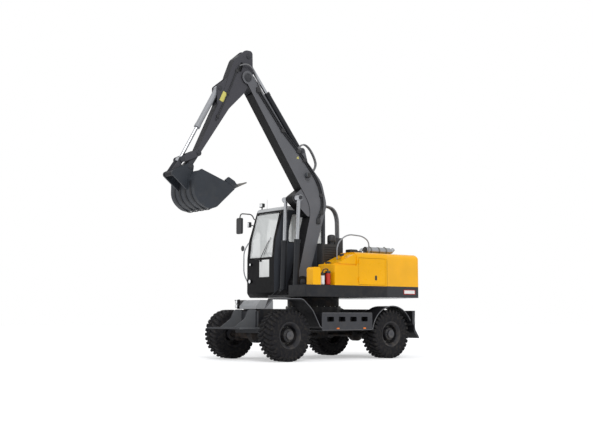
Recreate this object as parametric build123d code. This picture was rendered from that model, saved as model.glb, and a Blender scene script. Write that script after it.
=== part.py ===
"""Wheeled excavator: two-axle undercarriage with a dozer blade, a slewing upper
structure with cab, and a one-piece boom, arm and bucket.

Millimetres. +X is forward, +Y is the machine's left, +Z is up.
The origin is on the ground, under the slewing axis.
"""
from build123d import *
import os
from math import acos, atan2, cos, degrees, hypot, pi, radians, sin, sqrt, tan

os.makedirs("parts", exist_ok=True)

# Running fits and gaps
PIN_FIT = 0.05
SEAT_GAP = 0.3
SIDE_GAP = 6.0
RUN_GAP = 10.0

# Axles and wheels
FRONT_AXLE_X = 1520.0
REAR_AXLE_X = -1220.0
TRACK = 1940.0
TYRE_R = 520.0
TYRE_W = 430.0
LUG_HEIGHT = 32.0
LUG_COUNT = 15
LUG_THICK = 62.0
LUG_RAKE = 28.0
BEAD_R = 255.0
BEAD_W = 330.0
RIM_FLANGE_R = 272.0
RIM_FLANGE_T = 16.0
RIM_WALL = 14.0
RIM_DISC_Y = 35.0
RIM_DISC_T = 22.0
HUB_R = 128.0
HUB_OUT = 165.0
HUB_IN = 95.0
HUB_CAP_R = 88.0
HUB_CAP_OUT = 188.0
SPINDLE_R = 40.0
SPINDLE_OUT = 60.0
KINGPIN_IN = 310.0
KINGPIN_Y = TRACK / 2 - KINGPIN_IN
KINGPIN_R = 30.0
KNUCKLE_R = 66.0
KNUCKLE_H = 176.0
YOKE_R = 74.0
YOKE_T = 34.0
AXLE_TUBE_R = 78.0
DIFF_R = 168.0
DIFF_W = 300.0
STEER_ARM = 190.0
STEER_ARM_IN = 60.0
STEER_ARM_UP = 20.0
STEER_ARM_T = 26.0
TIE_ROD_R = 18.0
TIE_EYE_R = 30.0

# Chassis
CHASSIS_HALF = 330.0
CHASSIS_FRONT = 1700.0
CHASSIS_REAR = -1330.0
CHASSIS_LOW = 700.0
CHASSIS_TOP = 1050.0
CENTRE_HALF = 430.0
CENTRE_LONG = 640.0
CENTRE_LOW = 560.0
TURRET_R = 600.0
TURRET_PLATE = 50.0
RING_R = 560.0
RING_BORE = 430.0
RING_FIT = 0.5

# Steps and mudguards
SIDE_Y = 1190.0
STEP_FRONT = 730.0
STEP_REAR = -650.0
STEP_LOW = 610.0
STEP_TOP = 970.0
STEP_HOLE_L = 180.0
STEP_HOLE_H = 100.0
STEP_HOLE_Z = 840.0
STEP_HOLE_PITCH = 310.0
STEP_HOLE_X = 500.0
STEP_HOLE_DEPTH = 150.0
GUARD_T = 14.0
GUARD_IN = 740.0
GUARD_CUT_X = 1615.0
GUARD_TIP_X = 2170.0
RIGHT_GUARD_END = 1250.0
REAR_GUARD_R = 585.0
REAR_GUARD_SHIFT = -30.0

# Front box and shelf
BOX_FRONT = 1740.0
BOX_BACK = 1300.0
BOX_HALF = 290.0
BOX_TOP = 1230.0
BOX_LIP = 1110.0
SHELF_Z = 680.0
SHELF_T = 36.0
SHELF_FRONT = 2350.0
SHELF_BAR = 75.0
SHELF_WIDE_X = SHELF_FRONT - SHELF_BAR
SHELF_WIDE_HALF = 600.0
SHELF_HALF = 410.0
LASHING_Y = 500.0
LASHING_R = 25.0
FIN_Y = 250.0
FIN_T = 24.0

# Dozer blade
BLADE_HALF = 1200.0
BLADE_TOP = 1020.0
BLADE_LOW = 420.0
BLADE_X = -1850.0
BLADE_T = 24.0
BLADE_HINGE = (-1420.0, 500.0)
BLADE_ARM_Y = 255.0
BLADE_ARM_T = 44.0
BLADE_PIN_R = 28.0
BLADE_CYL_BASE = (-1400.0, 940.0)
BLADE_CYL_EYE = (-1775.0, 690.0)
BLADE_CYL_Y = 110.0

# Upper structure
DECK_LOW = 1300.0
DECK_T = 40.0
SKIRT_TOP = 1540.0
SKIRT_T = 30.0
UPPER_HALF = 1170.0
DECK_FRONT = 1100.0
TAIL_R = 2360.0
HOOD_TOP = 2250.0
HOOD_FRONT = -240.0
HOOD_WALL = 40.0
HOOD_ROUND = 110.0
BAY_FRONT = -560.0
DOOR_FRAME = 50.0
LID_FRAME = 60.0
LID_FAR = 560.0
WEIGHT_FRONT = -1110.0
TANK_FRONT = 370.0
TANK_TOP = 1990.0
TANK_IN = 640.0
COOLER_FRONT = 250.0
COOLER_TOP = 2430.0
SLAT_PITCH = 52.0
HOSE_BOX_REAR = -524.0
HOSE_BOX_FRONT = -300.0
HOSE_BOX_TOP = 2600.0
HOSE_R = 20.0
HOSE_PITCH = 45.0
HOSE_X = -473.0
TOOLBOX_FRONT = 940.0
TOOLBOX_BACK = 735.0
TOOLBOX_TOP = 1900.0
TOOLBOX_IN = 960.0

# Cab
CAB_IN = -185.0
MIRROR_X = 1000.0
MIRROR_Y = -1350.0
CAB_OUT = -1185.0
CAB_REAR = -500.0
CAB_WALL = 50.0
CAB_TOP = 3290.0
GLASS_T = 8.0
DOOR_FRONT = 500.0
DOOR_REAR = -400.0
DOOR_LOW = 1380.0
DOOR_TOP = 3170.0
DOOR_GAP = 6.0
HINGE_L = 90.0
HINGE_PIN_R = 6.0
HINGE_LEAF = 45.0
LEAF_T = 6.0
SMALL_HINGE = 14.0
CAB_HINGE = 20.0
SILL_Z = 2150.0

# Boom, arm and bucket: pivots in the plane of the boom
BOOM_Y = 260.0
BOOM_HALF = 135.0
BOOM_FOOT = (635.0, 1611.0)
BOOM_TIP = (2038.0, 5810.0)
BOOM_CYL_FOOT = (860.0, 1422.0)
BOOM_CYL_TOP = (775.0, 3390.0)
BOOM_CYL_Y = 225.0
ARM_CYL_BASE = (576.0, 4427.0)
ARM_TAIL = (2008.0, 6264.0)
ARM_HALF = 104.0
BUCKET_PIN = (3421.0, 3814.0)
ROCKER_PIN = (3213.0, 4111.0)
BUCKET_EAR = (3776.0, 3656.0)
LINK_PIN = (ROCKER_PIN[0] + BUCKET_EAR[0] - BUCKET_PIN[0], ROCKER_PIN[1] + BUCKET_EAR[1] - BUCKET_PIN[1])
BUCKET_CYL_BASE = (2700.0, 5500.0)
BUCKET_HALF = 440.0
BUCKET_WALL = 22.0
BOOM_CYL_R = 62.0
ARM_CYL_R = 66.0
BUCKET_CYL_R = 58.0
BRACKET_T = 36.0
CYL_EYE_OUT = 6.0
BLADE_CYL_R = 36.0
BLADE_CYL_PIN_R = 22.0
GLAND_OUT = 6.0
GLAND_L = 70.0
BORE_START = 12.0
ROD_END_GAP = 6.0
EYE_SHARE = 0.95
BELLY_EAR_IN = 15.0
NOSE_R = 70.0
FOOT_PIN_R = 45.0
TIP_PIN_R = 45.0
CYL_PIN_R = 32.0
ROCKER_PIN_R = 36.0
BUCKET_PIN_R = 38.0
ROCKER_T = 26.0
EAR_T = 28.0
OUTER_EAR_T = 22.0


def save(name, shape):
    """Write one node to its own STEP file."""
    export_step(shape, "parts/" + name + ".step")


def rounded(points):
    """Closed face in X and Z from (x, z, corner radius), each corner a tangent arc."""
    edges = []
    ends = []
    count = len(points)
    for i in range(count):
        x, z, r = points[i]
        px, pz, _ = points[i - 1]
        nx, nz, _ = points[(i + 1) % count]
        if r == 0:
            ends.append(((x, z), (x, z), None))
            continue
        before = Vector(px - x, 0, pz - z).normalized()
        ahead = Vector(nx - x, 0, nz - z).normalized()
        half = radians(before.get_angle(ahead)) / 2
        reach = r / tan(half)
        inward = (before + ahead).normalized()
        depth = r / sin(half) - r
        start = (x + reach * before.X, z + reach * before.Z)
        end = (x + reach * ahead.X, z + reach * ahead.Z)
        ends.append((start, end, (x + depth * inward.X, z + depth * inward.Z)))
    for i in range(count):
        start, end, middle = ends[i]
        if middle is not None:
            edges.append(ThreePointArc(flat(start), flat(middle), flat(end)))
        after = ends[(i + 1) % count][0]
        if hypot(after[0] - end[0], after[1] - end[1]) > 0.01:
            edges.append(Line(flat(end), flat(after)))
    return Face(Wire(edges))


def flat(point):
    """Point of the X and Z plane in space."""
    return (point[0], 0, point[1])


def plate(points, y_low, y_high):
    """Rounded outline in X and Z, as thick as from y_low to y_high."""
    outline = [p if len(p) == 3 else (p[0], p[1], 0) for p in points]
    face = Pos(0, y_low, 0) * rounded(outline)
    return extrude(face, amount=y_high - y_low, dir=(0, 1, 0))


def strip(points, thick, y_low, y_high):
    """Bent sheet along (x, z, radius) points, its thickness to the right of the way."""
    far = []
    for i, (x, z, r) in enumerate(points):
        before = points[max(i - 1, 0)]
        after = points[min(i + 1, len(points) - 1)]
        ways = []
        for a, b in ((before, (x, z)), ((x, z), after)):
            length = hypot(b[0] - a[0], b[1] - a[1])
            if length > 0:
                ways.append(((b[0] - a[0]) / length, (b[1] - a[1]) / length))
        first = ways[0]
        last = ways[-1]
        scale = thick / (1 + first[0] * last[0] + first[1] * last[1])
        turn = first[0] * last[1] - first[1] * last[0]
        radius = 0 if r == 0 else r + (thick if turn > 0 else -thick)
        far.append((x + scale * (first[1] + last[1]), z - scale * (first[0] + last[0]), radius))
    return plate(list(points) + far[::-1], y_low, y_high)


def belt(circles, y_low, y_high):
    """Plate round the outside of circles (x, z, r), as a belt would run."""
    circles = outer_circles(circles)
    count = len(circles)
    tangents = []
    for i in range(count):
        x0, z0, r0 = circles[i]
        x1, z1, r1 = circles[(i + 1) % count]
        away = atan2(z1 - z0, x1 - x0)
        tangents.append(away - pi / 2 + asin_safe((r0 - r1) / hypot(x1 - x0, z1 - z0)))
    edges = []
    for i in range(count):
        x, z, r = circles[i]
        a = tangents[i - 1]
        b = tangents[i]
        middle = a + ((b - a) % (2 * pi)) / 2
        start, half, end = [flat((x + r * cos(t), z + r * sin(t))) for t in (a, middle, b)]
        edges.append(ThreePointArc(start, half, end))
        nx, nz, nr = circles[(i + 1) % count]
        edges.append(Line(end, flat((nx + nr * cos(b), nz + nr * sin(b)))))
    face = Pos(0, y_low, 0) * Face(Wire(edges))
    return extrude(face, amount=y_high - y_low, dir=(0, 1, 0))


def outer_circles(circles):
    """The circles that the belt touches, anticlockwise."""
    order = []
    for step in range(360):
        angle = radians(step)
        reach = [x * cos(angle) + z * sin(angle) + r for x, z, r in circles]
        touched = reach.index(max(reach))
        if not order or order[-1] != touched:
            order.append(touched)
    if len(order) > 1 and order[0] == order[-1]:
        order.pop()
    return [circles[i] for i in order]


def asin_safe(ratio):
    """Angle whose sine is ratio."""
    return pi / 2 - acos(max(-1.0, min(1.0, ratio)))


def rod_y(centre, radius, y_low, y_high):
    """Cylinder along Y about a point (x, z)."""
    middle = (y_low + y_high) / 2
    turn = Rotation(90, 0, 0)
    return Pos(centre[0], middle, centre[1]) * turn * Cylinder(radius, y_high - y_low)


def block(x_low, x_high, y_low, y_high, z_low, z_high):
    """Box between two corners."""
    size = Box(x_high - x_low, y_high - y_low, z_high - z_low)
    return Pos((x_low + x_high) / 2, (y_low + y_high) / 2, (z_low + z_high) / 2) * size


def tube_z(centre, radius, z_low, z_high):
    """Cylinder along Z about a point (x, y)."""
    middle = (z_low + z_high) / 2
    return Pos(centre[0], centre[1], middle) * Cylinder(radius, z_high - z_low)


def between(start, end, y, radius, from_start, to_start):
    """Cylinder on the line from start to end in the plane y, between two distances."""
    away = atan2(end[1] - start[1], end[0] - start[0])
    middle = (from_start + to_start) / 2
    x = start[0] + middle * cos(away)
    z = start[1] + middle * sin(away)
    turn = Rotation(0, 90 - degrees(away), 0)
    return Pos(x, y, z) * turn * Cylinder(radius, to_start - from_start)


def along(start, end, distance, off=0.0):
    """Point at a distance from start towards end, off to the left of that line."""
    away = atan2(end[1] - start[1], end[0] - start[0])
    x = start[0] + distance * cos(away) - off * sin(away)
    z = start[1] + distance * sin(away) + off * cos(away)
    return (x, z)


def span(start, end):
    """Distance between two points."""
    return hypot(end[0] - start[0], end[1] - start[1])


def mirrored(shape):
    """The same shape on the other side of the machine."""
    return mirror(shape, about=Plane.XZ)


def fused(pieces):
    """One shape from a list."""
    whole = pieces[0]
    for piece in pieces[1:]:
        whole = whole + piece
    return whole


def ring_profile(points):
    """Turned solid about Y from (radius, y) points in order."""
    wire = Polyline(*[(r, y, 0) for r, y in points], close=True)
    return revolve(Face(Wire(wire.edges())), axis=Axis.Y, revolution_arc=360)


def make_tyre():
    """Tyre about Y with raked shoulder lugs, the two rows half a pitch apart."""
    half = TYRE_W / 2
    base = TYRE_R - LUG_HEIGHT
    wall = half - 12
    carcass = ring_profile([
        (BEAD_R, -BEAD_W / 2),
        (BEAD_R + 24, -BEAD_W / 2 - 14),
        (BEAD_R + 95, -wall),
        (base - 55, -wall),
        (base, -half + 55),
        (base, half - 55),
        (base - 55, wall),
        (BEAD_R + 95, wall),
        (BEAD_R + 24, BEAD_W / 2 + 14),
        (BEAD_R, BEAD_W / 2),
    ])
    root = base - 70
    lugs = []
    for row in (1, -1):
        outline = Polyline(
            (base - 20, row * 6, 0),
            (TYRE_R, row * 6, 0),
            (TYRE_R, row * (half - 34), 0),
            (TYRE_R - 34, row * half, 0),
            (root, row * half, 0),
            (root, row * (wall - 30), 0),
            (base - 20, row * (half - 90), 0),
            close=True,
        )
        lug = extrude(Face(Wire(outline.edges())), amount=LUG_THICK / 2, both=True)
        skew = Rotation(row * LUG_RAKE, 0, 0)
        lug = Pos(0, row * half / 2, 0) * skew * Pos(0, -row * half / 2, 0) * lug
        for i in range(LUG_COUNT):
            turn = (i + (0.5 if row > 0 else 0)) * 360 / LUG_COUNT
            lugs.append(Rotation(0, turn, 0) * lug)
    trim = ring_profile([(BEAD_R + 40, -half), (TYRE_R, -half), (TYRE_R, half), (BEAD_R + 40, half)])
    tread = Compound(children=lugs) & trim
    return carcass.fuse(*tread.solids())


def make_rim():
    """Rim about Y, outside towards +Y, with its dished disc and hub."""
    half = BEAD_W / 2
    bead = BEAD_R - SEAT_GAP
    inner = bead - RIM_WALL
    well = inner - 36
    bore = SPINDLE_R + PIN_FIT
    return ring_profile([
        (bore, -HUB_IN),
        (HUB_R, -HUB_IN),
        (HUB_R + 14, RIM_DISC_Y - RIM_DISC_T),
        (well, RIM_DISC_Y - RIM_DISC_T),
        (inner, -half + 40),
        (inner, -half - RIM_FLANGE_T),
        (RIM_FLANGE_R, -half - RIM_FLANGE_T - 14.3),
        (RIM_FLANGE_R, -half - 14.3),
        (bead, -half),
        (bead, half),
        (RIM_FLANGE_R, half + 14.3),
        (RIM_FLANGE_R, half + RIM_FLANGE_T + 14.3),
        (inner, half + RIM_FLANGE_T),
        (well, half - 30),
        (well, RIM_DISC_Y),
        (HUB_R + 14, RIM_DISC_Y),
        (HUB_R, RIM_DISC_Y + 20),
        (HUB_R, HUB_OUT - 20),
        (HUB_CAP_R, HUB_OUT),
        (HUB_CAP_R, HUB_CAP_OUT),
        (0, HUB_CAP_OUT),
        (0, SPINDLE_OUT + 2),
        (bore, SPINDLE_OUT + 2),
    ])


def make_wheels():
    """Four tyres and four rims; left and right rims face outwards."""
    tyre = make_tyre()
    rim = make_rim()
    for end, x in (("front", FRONT_AXLE_X), ("rear", REAR_AXLE_X)):
        for side, sign in (("left", 1), ("right", -1)):
            place = Pos(x, sign * TRACK / 2, TYRE_R)
            turn = Rotation(0, 0, 0 if sign > 0 else 180)
            save("tyre_" + end + "_" + side, place * turn * tyre)
            save("rim_" + end + "_" + side, place * turn * rim)


def make_axles():
    """Front steering axle with yokes, rear axle with the drive line, knuckles, tie rod."""
    hub_y = TRACK / 2
    spindle_tip = hub_y + SPINDLE_OUT
    knuckle_low = TYRE_R - KNUCKLE_H / 2
    knuckle_high = TYRE_R + KNUCKLE_H / 2
    yoke_gap = 3.0
    diff = [
        (0, -DIFF_W / 2), (AXLE_TUBE_R, -DIFF_W / 2), (DIFF_R, -DIFF_W / 4),
        (DIFF_R, DIFF_W / 4), (AXLE_TUBE_R, DIFF_W / 2), (0, DIFF_W / 2),
    ]

    beam_end = KINGPIN_Y - YOKE_R - 12
    beam = Pos(FRONT_AXLE_X, 0, TYRE_R) * ring_profile(diff)
    beam += rod_y((FRONT_AXLE_X, TYRE_R), AXLE_TUBE_R, -beam_end, beam_end)
    for sign in (1, -1):
        y_in = sign * (beam_end - 30)
        y_pin = sign * KINGPIN_Y
        back = block(FRONT_AXLE_X - YOKE_R, FRONT_AXLE_X + YOKE_R, min(y_in, y_in + sign * 30),
                     max(y_in, y_in + sign * 30), knuckle_low - yoke_gap - YOKE_T,
                     knuckle_high + yoke_gap + YOKE_T)
        beam += back
        beam -= block(FRONT_AXLE_X - 90, FRONT_AXLE_X - 30, min(sign * (beam_end - 60), sign * (beam_end + 2)),
                      max(sign * (beam_end - 60), sign * (beam_end + 2)), knuckle_low + STEER_ARM_UP - RUN_GAP,
                      knuckle_low + STEER_ARM_UP + STEER_ARM_T + RUN_GAP)
        for low in (knuckle_low - yoke_gap - YOKE_T, knuckle_high + yoke_gap):
            ear = tube_z((FRONT_AXLE_X, y_pin), YOKE_R, low, low + YOKE_T)
            ear += block(FRONT_AXLE_X - YOKE_R, FRONT_AXLE_X + YOKE_R, min(y_in, y_pin),
                         max(y_in, y_pin), low, low + YOKE_T)
            ear -= tube_z((FRONT_AXLE_X, y_pin), KINGPIN_R + PIN_FIT, low, low + YOKE_T)
            beam += ear
    cradle_top = CHASSIS_LOW
    beam += block(FRONT_AXLE_X - 90, FRONT_AXLE_X + 90, -70, 70, TYRE_R, cradle_top)
    save("front_axle", beam)

    housing = Pos(REAR_AXLE_X, 0, TYRE_R) * ring_profile(diff)
    housing += rod_y((REAR_AXLE_X, TYRE_R), AXLE_TUBE_R, -hub_y + HUB_IN + 6, hub_y - HUB_IN - 6)
    housing += rod_y((REAR_AXLE_X, TYRE_R), SPINDLE_R, -spindle_tip, spindle_tip)
    for sign in (1, -1):
        y = sign * (CHASSIS_HALF - 60)
        housing += block(REAR_AXLE_X - 70, REAR_AXLE_X + 70, y - 45, y + 45, TYRE_R, CHASSIS_LOW)
    save("rear_axle", housing)

    gearbox_x = -150.0
    line = block(gearbox_x - 150, gearbox_x + 150, -140, 140, 430, CENTRE_LOW)
    shaft_z = TYRE_R - 20
    shaft_r = 34.0
    gap = SEAT_GAP
    front_end = FRONT_AXLE_X - DIFF_R - gap
    rear_end = REAR_AXLE_X + DIFF_R + gap
    middle_front = (gearbox_x + 150 + front_end) / 2
    middle_rear = (gearbox_x - 150 + rear_end) / 2
    line += Pos(middle_front, 0, shaft_z) * Rotation(0, 90, 0) * Cylinder(
        shaft_r, front_end - gearbox_x - 150)
    line += Pos(middle_rear, 0, shaft_z) * Rotation(0, 90, 0) * Cylinder(
        shaft_r, gearbox_x - 150 - rear_end)
    save("drive_line", line)

    for side, sign in (("left", 1), ("right", -1)):
        pin_y = sign * KINGPIN_Y
        knuckle = tube_z((FRONT_AXLE_X, pin_y), KNUCKLE_R, knuckle_low, knuckle_high)
        knuckle += tube_z((FRONT_AXLE_X, pin_y), KINGPIN_R, knuckle_low - yoke_gap - YOKE_T,
                          knuckle_high + yoke_gap + YOKE_T)
        hub_face = hub_y - HUB_IN - 6
        knuckle += rod_y((FRONT_AXLE_X, TYRE_R), 60.0, min(pin_y, sign * hub_face),
                         max(pin_y, sign * hub_face))
        knuckle += rod_y((FRONT_AXLE_X, TYRE_R), SPINDLE_R, min(pin_y, sign * spindle_tip),
                         max(pin_y, sign * spindle_tip))
        arm_tip = (FRONT_AXLE_X - STEER_ARM, sign * (KINGPIN_Y - STEER_ARM_IN))
        arm_root = (FRONT_AXLE_X - 30, pin_y)
        arm_z = knuckle_low + STEER_ARM_UP
        arm = hull_z([(arm_root[0], arm_root[1], 30), (arm_tip[0], arm_tip[1], 26)], arm_z, arm_z + STEER_ARM_T)
        knuckle += arm
        save("knuckle_" + side, knuckle)

    tip_y = KINGPIN_Y - STEER_ARM_IN
    rod_z = knuckle_low + STEER_ARM_UP - SEAT_GAP - TIE_ROD_R
    tie_x = FRONT_AXLE_X - STEER_ARM
    tie = rod_y((tie_x, rod_z), TIE_ROD_R - 2, -tip_y, tip_y)
    for sign in (1, -1):
        tie += tube_z((tie_x, sign * tip_y), TIE_EYE_R, rod_z - TIE_ROD_R, rod_z + TIE_ROD_R)
    save("tie_rod", tie)


def hull_z(circles, z_low, z_high):
    """Hull of two circles (x, y, r) in plan, between two heights."""
    (x0, y0, r0), (x1, y1, r1) = circles
    away = atan2(y1 - y0, x1 - x0)
    turn = asin_safe((r0 - r1) / hypot(x1 - x0, y1 - y0))
    a = away - pi / 2 + turn
    b = away + pi / 2 - turn
    points = [(x0 + r0 * cos(a), y0 + r0 * sin(a)), (x1 + r1 * cos(a), y1 + r1 * sin(a)),
              (x1 + r1 * cos(b), y1 + r1 * sin(b)), (x0 + r0 * cos(b), y0 + r0 * sin(b))]
    core = extrude(Pos(0, 0, z_low) * Face(Wire(Polyline(*points, close=True).edges())),
                   amount=z_high - z_low, dir=(0, 0, 1))
    return core + tube_z((x0, y0), r0, z_low, z_high) + tube_z((x1, y1), r1, z_low, z_high)


def make_chassis():
    """Chassis beam, turret plate and brackets; outer slewing race."""
    neck = [
        (CHASSIS_REAR, CHASSIS_LOW), (CHASSIS_FRONT, CHASSIS_LOW),
        (CHASSIS_FRONT, BOX_LIP - 80), (CHASSIS_FRONT - 200, CHASSIS_TOP),
        (CHASSIS_REAR, CHASSIS_TOP),
    ]
    frame = plate(neck, -CHASSIS_HALF, CHASSIS_HALF)
    frame += block(-CENTRE_LONG, CENTRE_LONG, -CENTRE_HALF, CENTRE_HALF, CENTRE_LOW, CHASSIS_TOP)
    frame += tube_z((0, 0), TURRET_R, STEP_TOP + RUN_GAP, CHASSIS_TOP + TURRET_PLATE)
    lug_front = CHASSIS_REAR
    for sign in (1, -1):
        for off in (-1, 1):
            low = sign * BLADE_ARM_Y + off * (BLADE_ARM_T / 2 + SIDE_GAP + BRACKET_T / 2) - BRACKET_T / 2
            lug = belt([(BLADE_HINGE[0], BLADE_HINGE[1], 58), (lug_front + 20, CHASSIS_LOW + 30, 25),
                        (lug_front + 20, CHASSIS_LOW + 230, 25)], low, low + BRACKET_T)
            frame += lug
        reach = BLADE_ARM_T / 2 + SIDE_GAP + BRACKET_T
        frame += rod_y(BLADE_HINGE, BLADE_PIN_R, sign * BLADE_ARM_Y - reach, sign * BLADE_ARM_Y + reach)
        for off in (-1, 1):
            low = sign * BLADE_CYL_Y + off * (BLADE_CYL_R + CYL_EYE_OUT + SIDE_GAP + 12) - 12
            frame += belt([(BLADE_CYL_BASE[0], BLADE_CYL_BASE[1], 40), (lug_front + 30, CHASSIS_TOP - 190, 20),
                           (lug_front + 30, CHASSIS_TOP - 30, 20)], low, low + 24)
        reach = BLADE_CYL_R + CYL_EYE_OUT + SIDE_GAP + 24
        frame += rod_y(BLADE_CYL_BASE, BLADE_CYL_PIN_R, sign * BLADE_CYL_Y - reach, sign * BLADE_CYL_Y + reach)
    save("chassis_frame", frame)

    ring_low = CHASSIS_TOP + TURRET_PLATE
    ring = tube_z((0, 0), RING_R, ring_low, DECK_LOW - RUN_GAP)
    ring -= tube_z((0, 0), RING_BORE, ring_low, DECK_LOW - RUN_GAP)
    save("slew_ring", ring)


def make_guards():
    """Step boxes with foot holes, and mudguards over the wheels, left and right."""
    box = plate([(STEP_REAR, STEP_LOW), (STEP_FRONT, STEP_LOW, 20), (STEP_FRONT, STEP_TOP, 20),
                 (STEP_REAR, STEP_TOP)], GUARD_IN - 20, SIDE_Y)
    box += block(STEP_REAR + 60, STEP_FRONT - 100, CENTRE_HALF, GUARD_IN, STEP_TOP - 24, STEP_TOP)
    for i in range(4):
        x = STEP_HOLE_X - i * STEP_HOLE_PITCH
        hole = plate([(x - STEP_HOLE_L / 2, STEP_HOLE_Z - STEP_HOLE_H / 2, 20),
                      (x + STEP_HOLE_L / 2, STEP_HOLE_Z - STEP_HOLE_H / 2, 20),
                      (x + STEP_HOLE_L / 2, STEP_HOLE_Z + STEP_HOLE_H / 2, 20),
                      (x - STEP_HOLE_L / 2, STEP_HOLE_Z + STEP_HOLE_H / 2, 20)],
                     SIDE_Y - STEP_HOLE_DEPTH, SIDE_Y + 1)
        box -= hole
    centre = (REAR_AXLE_X + REAR_GUARD_SHIFT, TYRE_R)
    outer = REAR_GUARD_R + GUARD_T
    guard = rod_y(centre, outer, GUARD_IN, SIDE_Y) - rod_y(centre, REAR_GUARD_R, GUARD_IN, SIDE_Y)
    keep = belt([(centre[0], centre[1], 20), (STEP_REAR + 30, STEP_LOW, 6),
                 (STEP_REAR + 30, centre[1] + 800, 6), (centre[0] - 500, centre[1] + 800, 6),
                 (centre[0] - 700, centre[1] + 380, 6)], GUARD_IN, SIDE_Y)
    guard = guard & keep
    top = DECK_LOW - 50
    front = strip([(STEP_FRONT - 10, STEP_LOW + 50, 0), (STEP_FRONT + 50, STEP_LOW + 90, 30),
                   (960, 1020, 400), (1215, top, 180), (1960, top, 60), (2165, top - 195, 0)],
                  GUARD_T, GUARD_IN, SIDE_Y)
    gusset = belt([(STEP_REAR + 10, STEP_LOW + 30, 10), (STEP_REAR + 10, STEP_TOP - 60, 10),
                   (STEP_REAR - 110, STEP_TOP - 110, 10)], GUARD_IN, GUARD_IN + GUARD_T)
    corner = Polyline((GUARD_CUT_X, GUARD_IN, 0), (GUARD_TIP_X, SIDE_Y, 0), (GUARD_TIP_X + 50, SIDE_Y, 0),
                      (GUARD_TIP_X + 50, GUARD_IN - 1, 0), (GUARD_CUT_X, GUARD_IN - 1, 0), close=True)
    cut = extrude(Face(Wire(corner.edges())), amount=DECK_LOW, dir=(0, 0, 1))
    save("side_steps_left", fused([box, gusset, guard, front - cut]))
    short = front & block(STEP_FRONT - 50, RIGHT_GUARD_END, GUARD_IN, SIDE_Y, STEP_LOW, DECK_LOW)
    save("side_steps_right", mirrored(fused([box, gusset, guard, short])))


def make_front():
    """Box over the front axle, and the towing shelf with its two fins."""
    body = plate([(BOX_BACK, CHASSIS_TOP + SEAT_GAP), (BOX_FRONT, CHASSIS_TOP + SEAT_GAP),
                  (BOX_FRONT, BOX_LIP), (BOX_FRONT - 120, BOX_TOP, 20), (BOX_BACK, BOX_TOP, 20)],
                 -BOX_HALF, BOX_HALF)
    save("front_box", body)

    shelf_points = [(CHASSIS_FRONT, -SHELF_HALF), (SHELF_WIDE_X, -SHELF_HALF),
                    (SHELF_WIDE_X, -SHELF_WIDE_HALF), (SHELF_FRONT, -SHELF_WIDE_HALF),
                    (SHELF_FRONT, SHELF_WIDE_HALF), (SHELF_WIDE_X, SHELF_WIDE_HALF),
                    (SHELF_WIDE_X, SHELF_HALF), (CHASSIS_FRONT, SHELF_HALF)]
    outline = Face(Wire(Polyline(*shelf_points, close=True).edges()))
    shelf = extrude(Pos(0, 0, SHELF_Z - SHELF_T) * outline, amount=SHELF_T, dir=(0, 0, 1))
    shelf += block(CHASSIS_FRONT, CHASSIS_FRONT + 60, -SHELF_HALF, SHELF_HALF, 560, SHELF_Z)
    for sign in (1, -1):
        low = sign * FIN_Y - FIN_T / 2
        fin = plate([(CHASSIS_FRONT + 1, SHELF_Z - 10), (SHELF_WIDE_X - 20, SHELF_Z - 10, 6),
                     (1990, 850, 160), (1900, 1040, 90), (CHASSIS_FRONT + 1, 1040, 20)], low, low + FIN_T)
        shelf += fin
    shelf += block(CHASSIS_FRONT + 0.3, CHASSIS_FRONT + 24, -CHASSIS_HALF, CHASSIS_HALF, SHELF_Z, 1000)
    for sign in (1, -1):
        place = ((SHELF_WIDE_X + SHELF_FRONT) / 2, sign * LASHING_Y)
        shelf -= tube_z(place, LASHING_R, SHELF_Z - SHELF_T - 1, SHELF_Z + 1)
    save("front_shelf", shelf)


def make_blade():
    """Curved blade on two arms, with its pair of cylinders."""
    skin = plate([
        (BLADE_X + 20, BLADE_TOP), (BLADE_X - 60, BLADE_TOP), (BLADE_X - 50, 800, 300),
        (BLADE_X - 60, 600, 250), (BLADE_X - 185, BLADE_LOW), (BLADE_X - 150, BLADE_LOW),
        (BLADE_X - 20, 560, 120), (BLADE_X - 20, 700, 60), (BLADE_X + 20, 740),
    ], -BLADE_HALF, BLADE_HALF)
    reach = BLADE_ARM_T / 2
    for sign in (1, -1):
        y = sign * BLADE_ARM_Y
        arm = belt([(BLADE_HINGE[0], BLADE_HINGE[1], 55), (BLADE_X - 10, 480, 30),
                    (BLADE_X - 10, 660, 30)], y - reach, y + reach)
        arm -= rod_y(BLADE_HINGE, BLADE_PIN_R + PIN_FIT, y - reach, y + reach)
        skin += arm
        y = sign * BLADE_CYL_Y
        for off in (-1, 1):
            low = y + off * (BLADE_CYL_R + CYL_EYE_OUT + SIDE_GAP + 10) - 10
            skin += belt([(BLADE_CYL_EYE[0], BLADE_CYL_EYE[1], 36), (BLADE_X + 6, 640, 20),
                          (BLADE_X + 6, 760, 20)], low, low + 20)
    save("blade", skin)


# Columns: name, base, eye, places in Y, barrel radius, barrel length, rod radius, pin radius, travel inwards
CYLINDERS = (
    ("blade", BLADE_CYL_BASE, BLADE_CYL_EYE, (BLADE_CYL_Y, -BLADE_CYL_Y), BLADE_CYL_R, 360.0, 20.0,
     BLADE_CYL_PIN_R, 30.0),
    ("boom", BOOM_CYL_FOOT, BOOM_CYL_TOP, (BOOM_Y + BOOM_CYL_Y, BOOM_Y - BOOM_CYL_Y), BOOM_CYL_R, 1085.0, 38.0,
     CYL_PIN_R, 425.0),
    ("arm", ARM_CYL_BASE, ARM_TAIL, (BOOM_Y,), ARM_CYL_R, 1460.0, 38.0, CYL_PIN_R, 700.0),
    ("bucket", BUCKET_CYL_BASE, LINK_PIN, (BOOM_Y,), BUCKET_CYL_R, 980.0, 34.0, CYL_PIN_R, 700.0),
)


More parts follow.
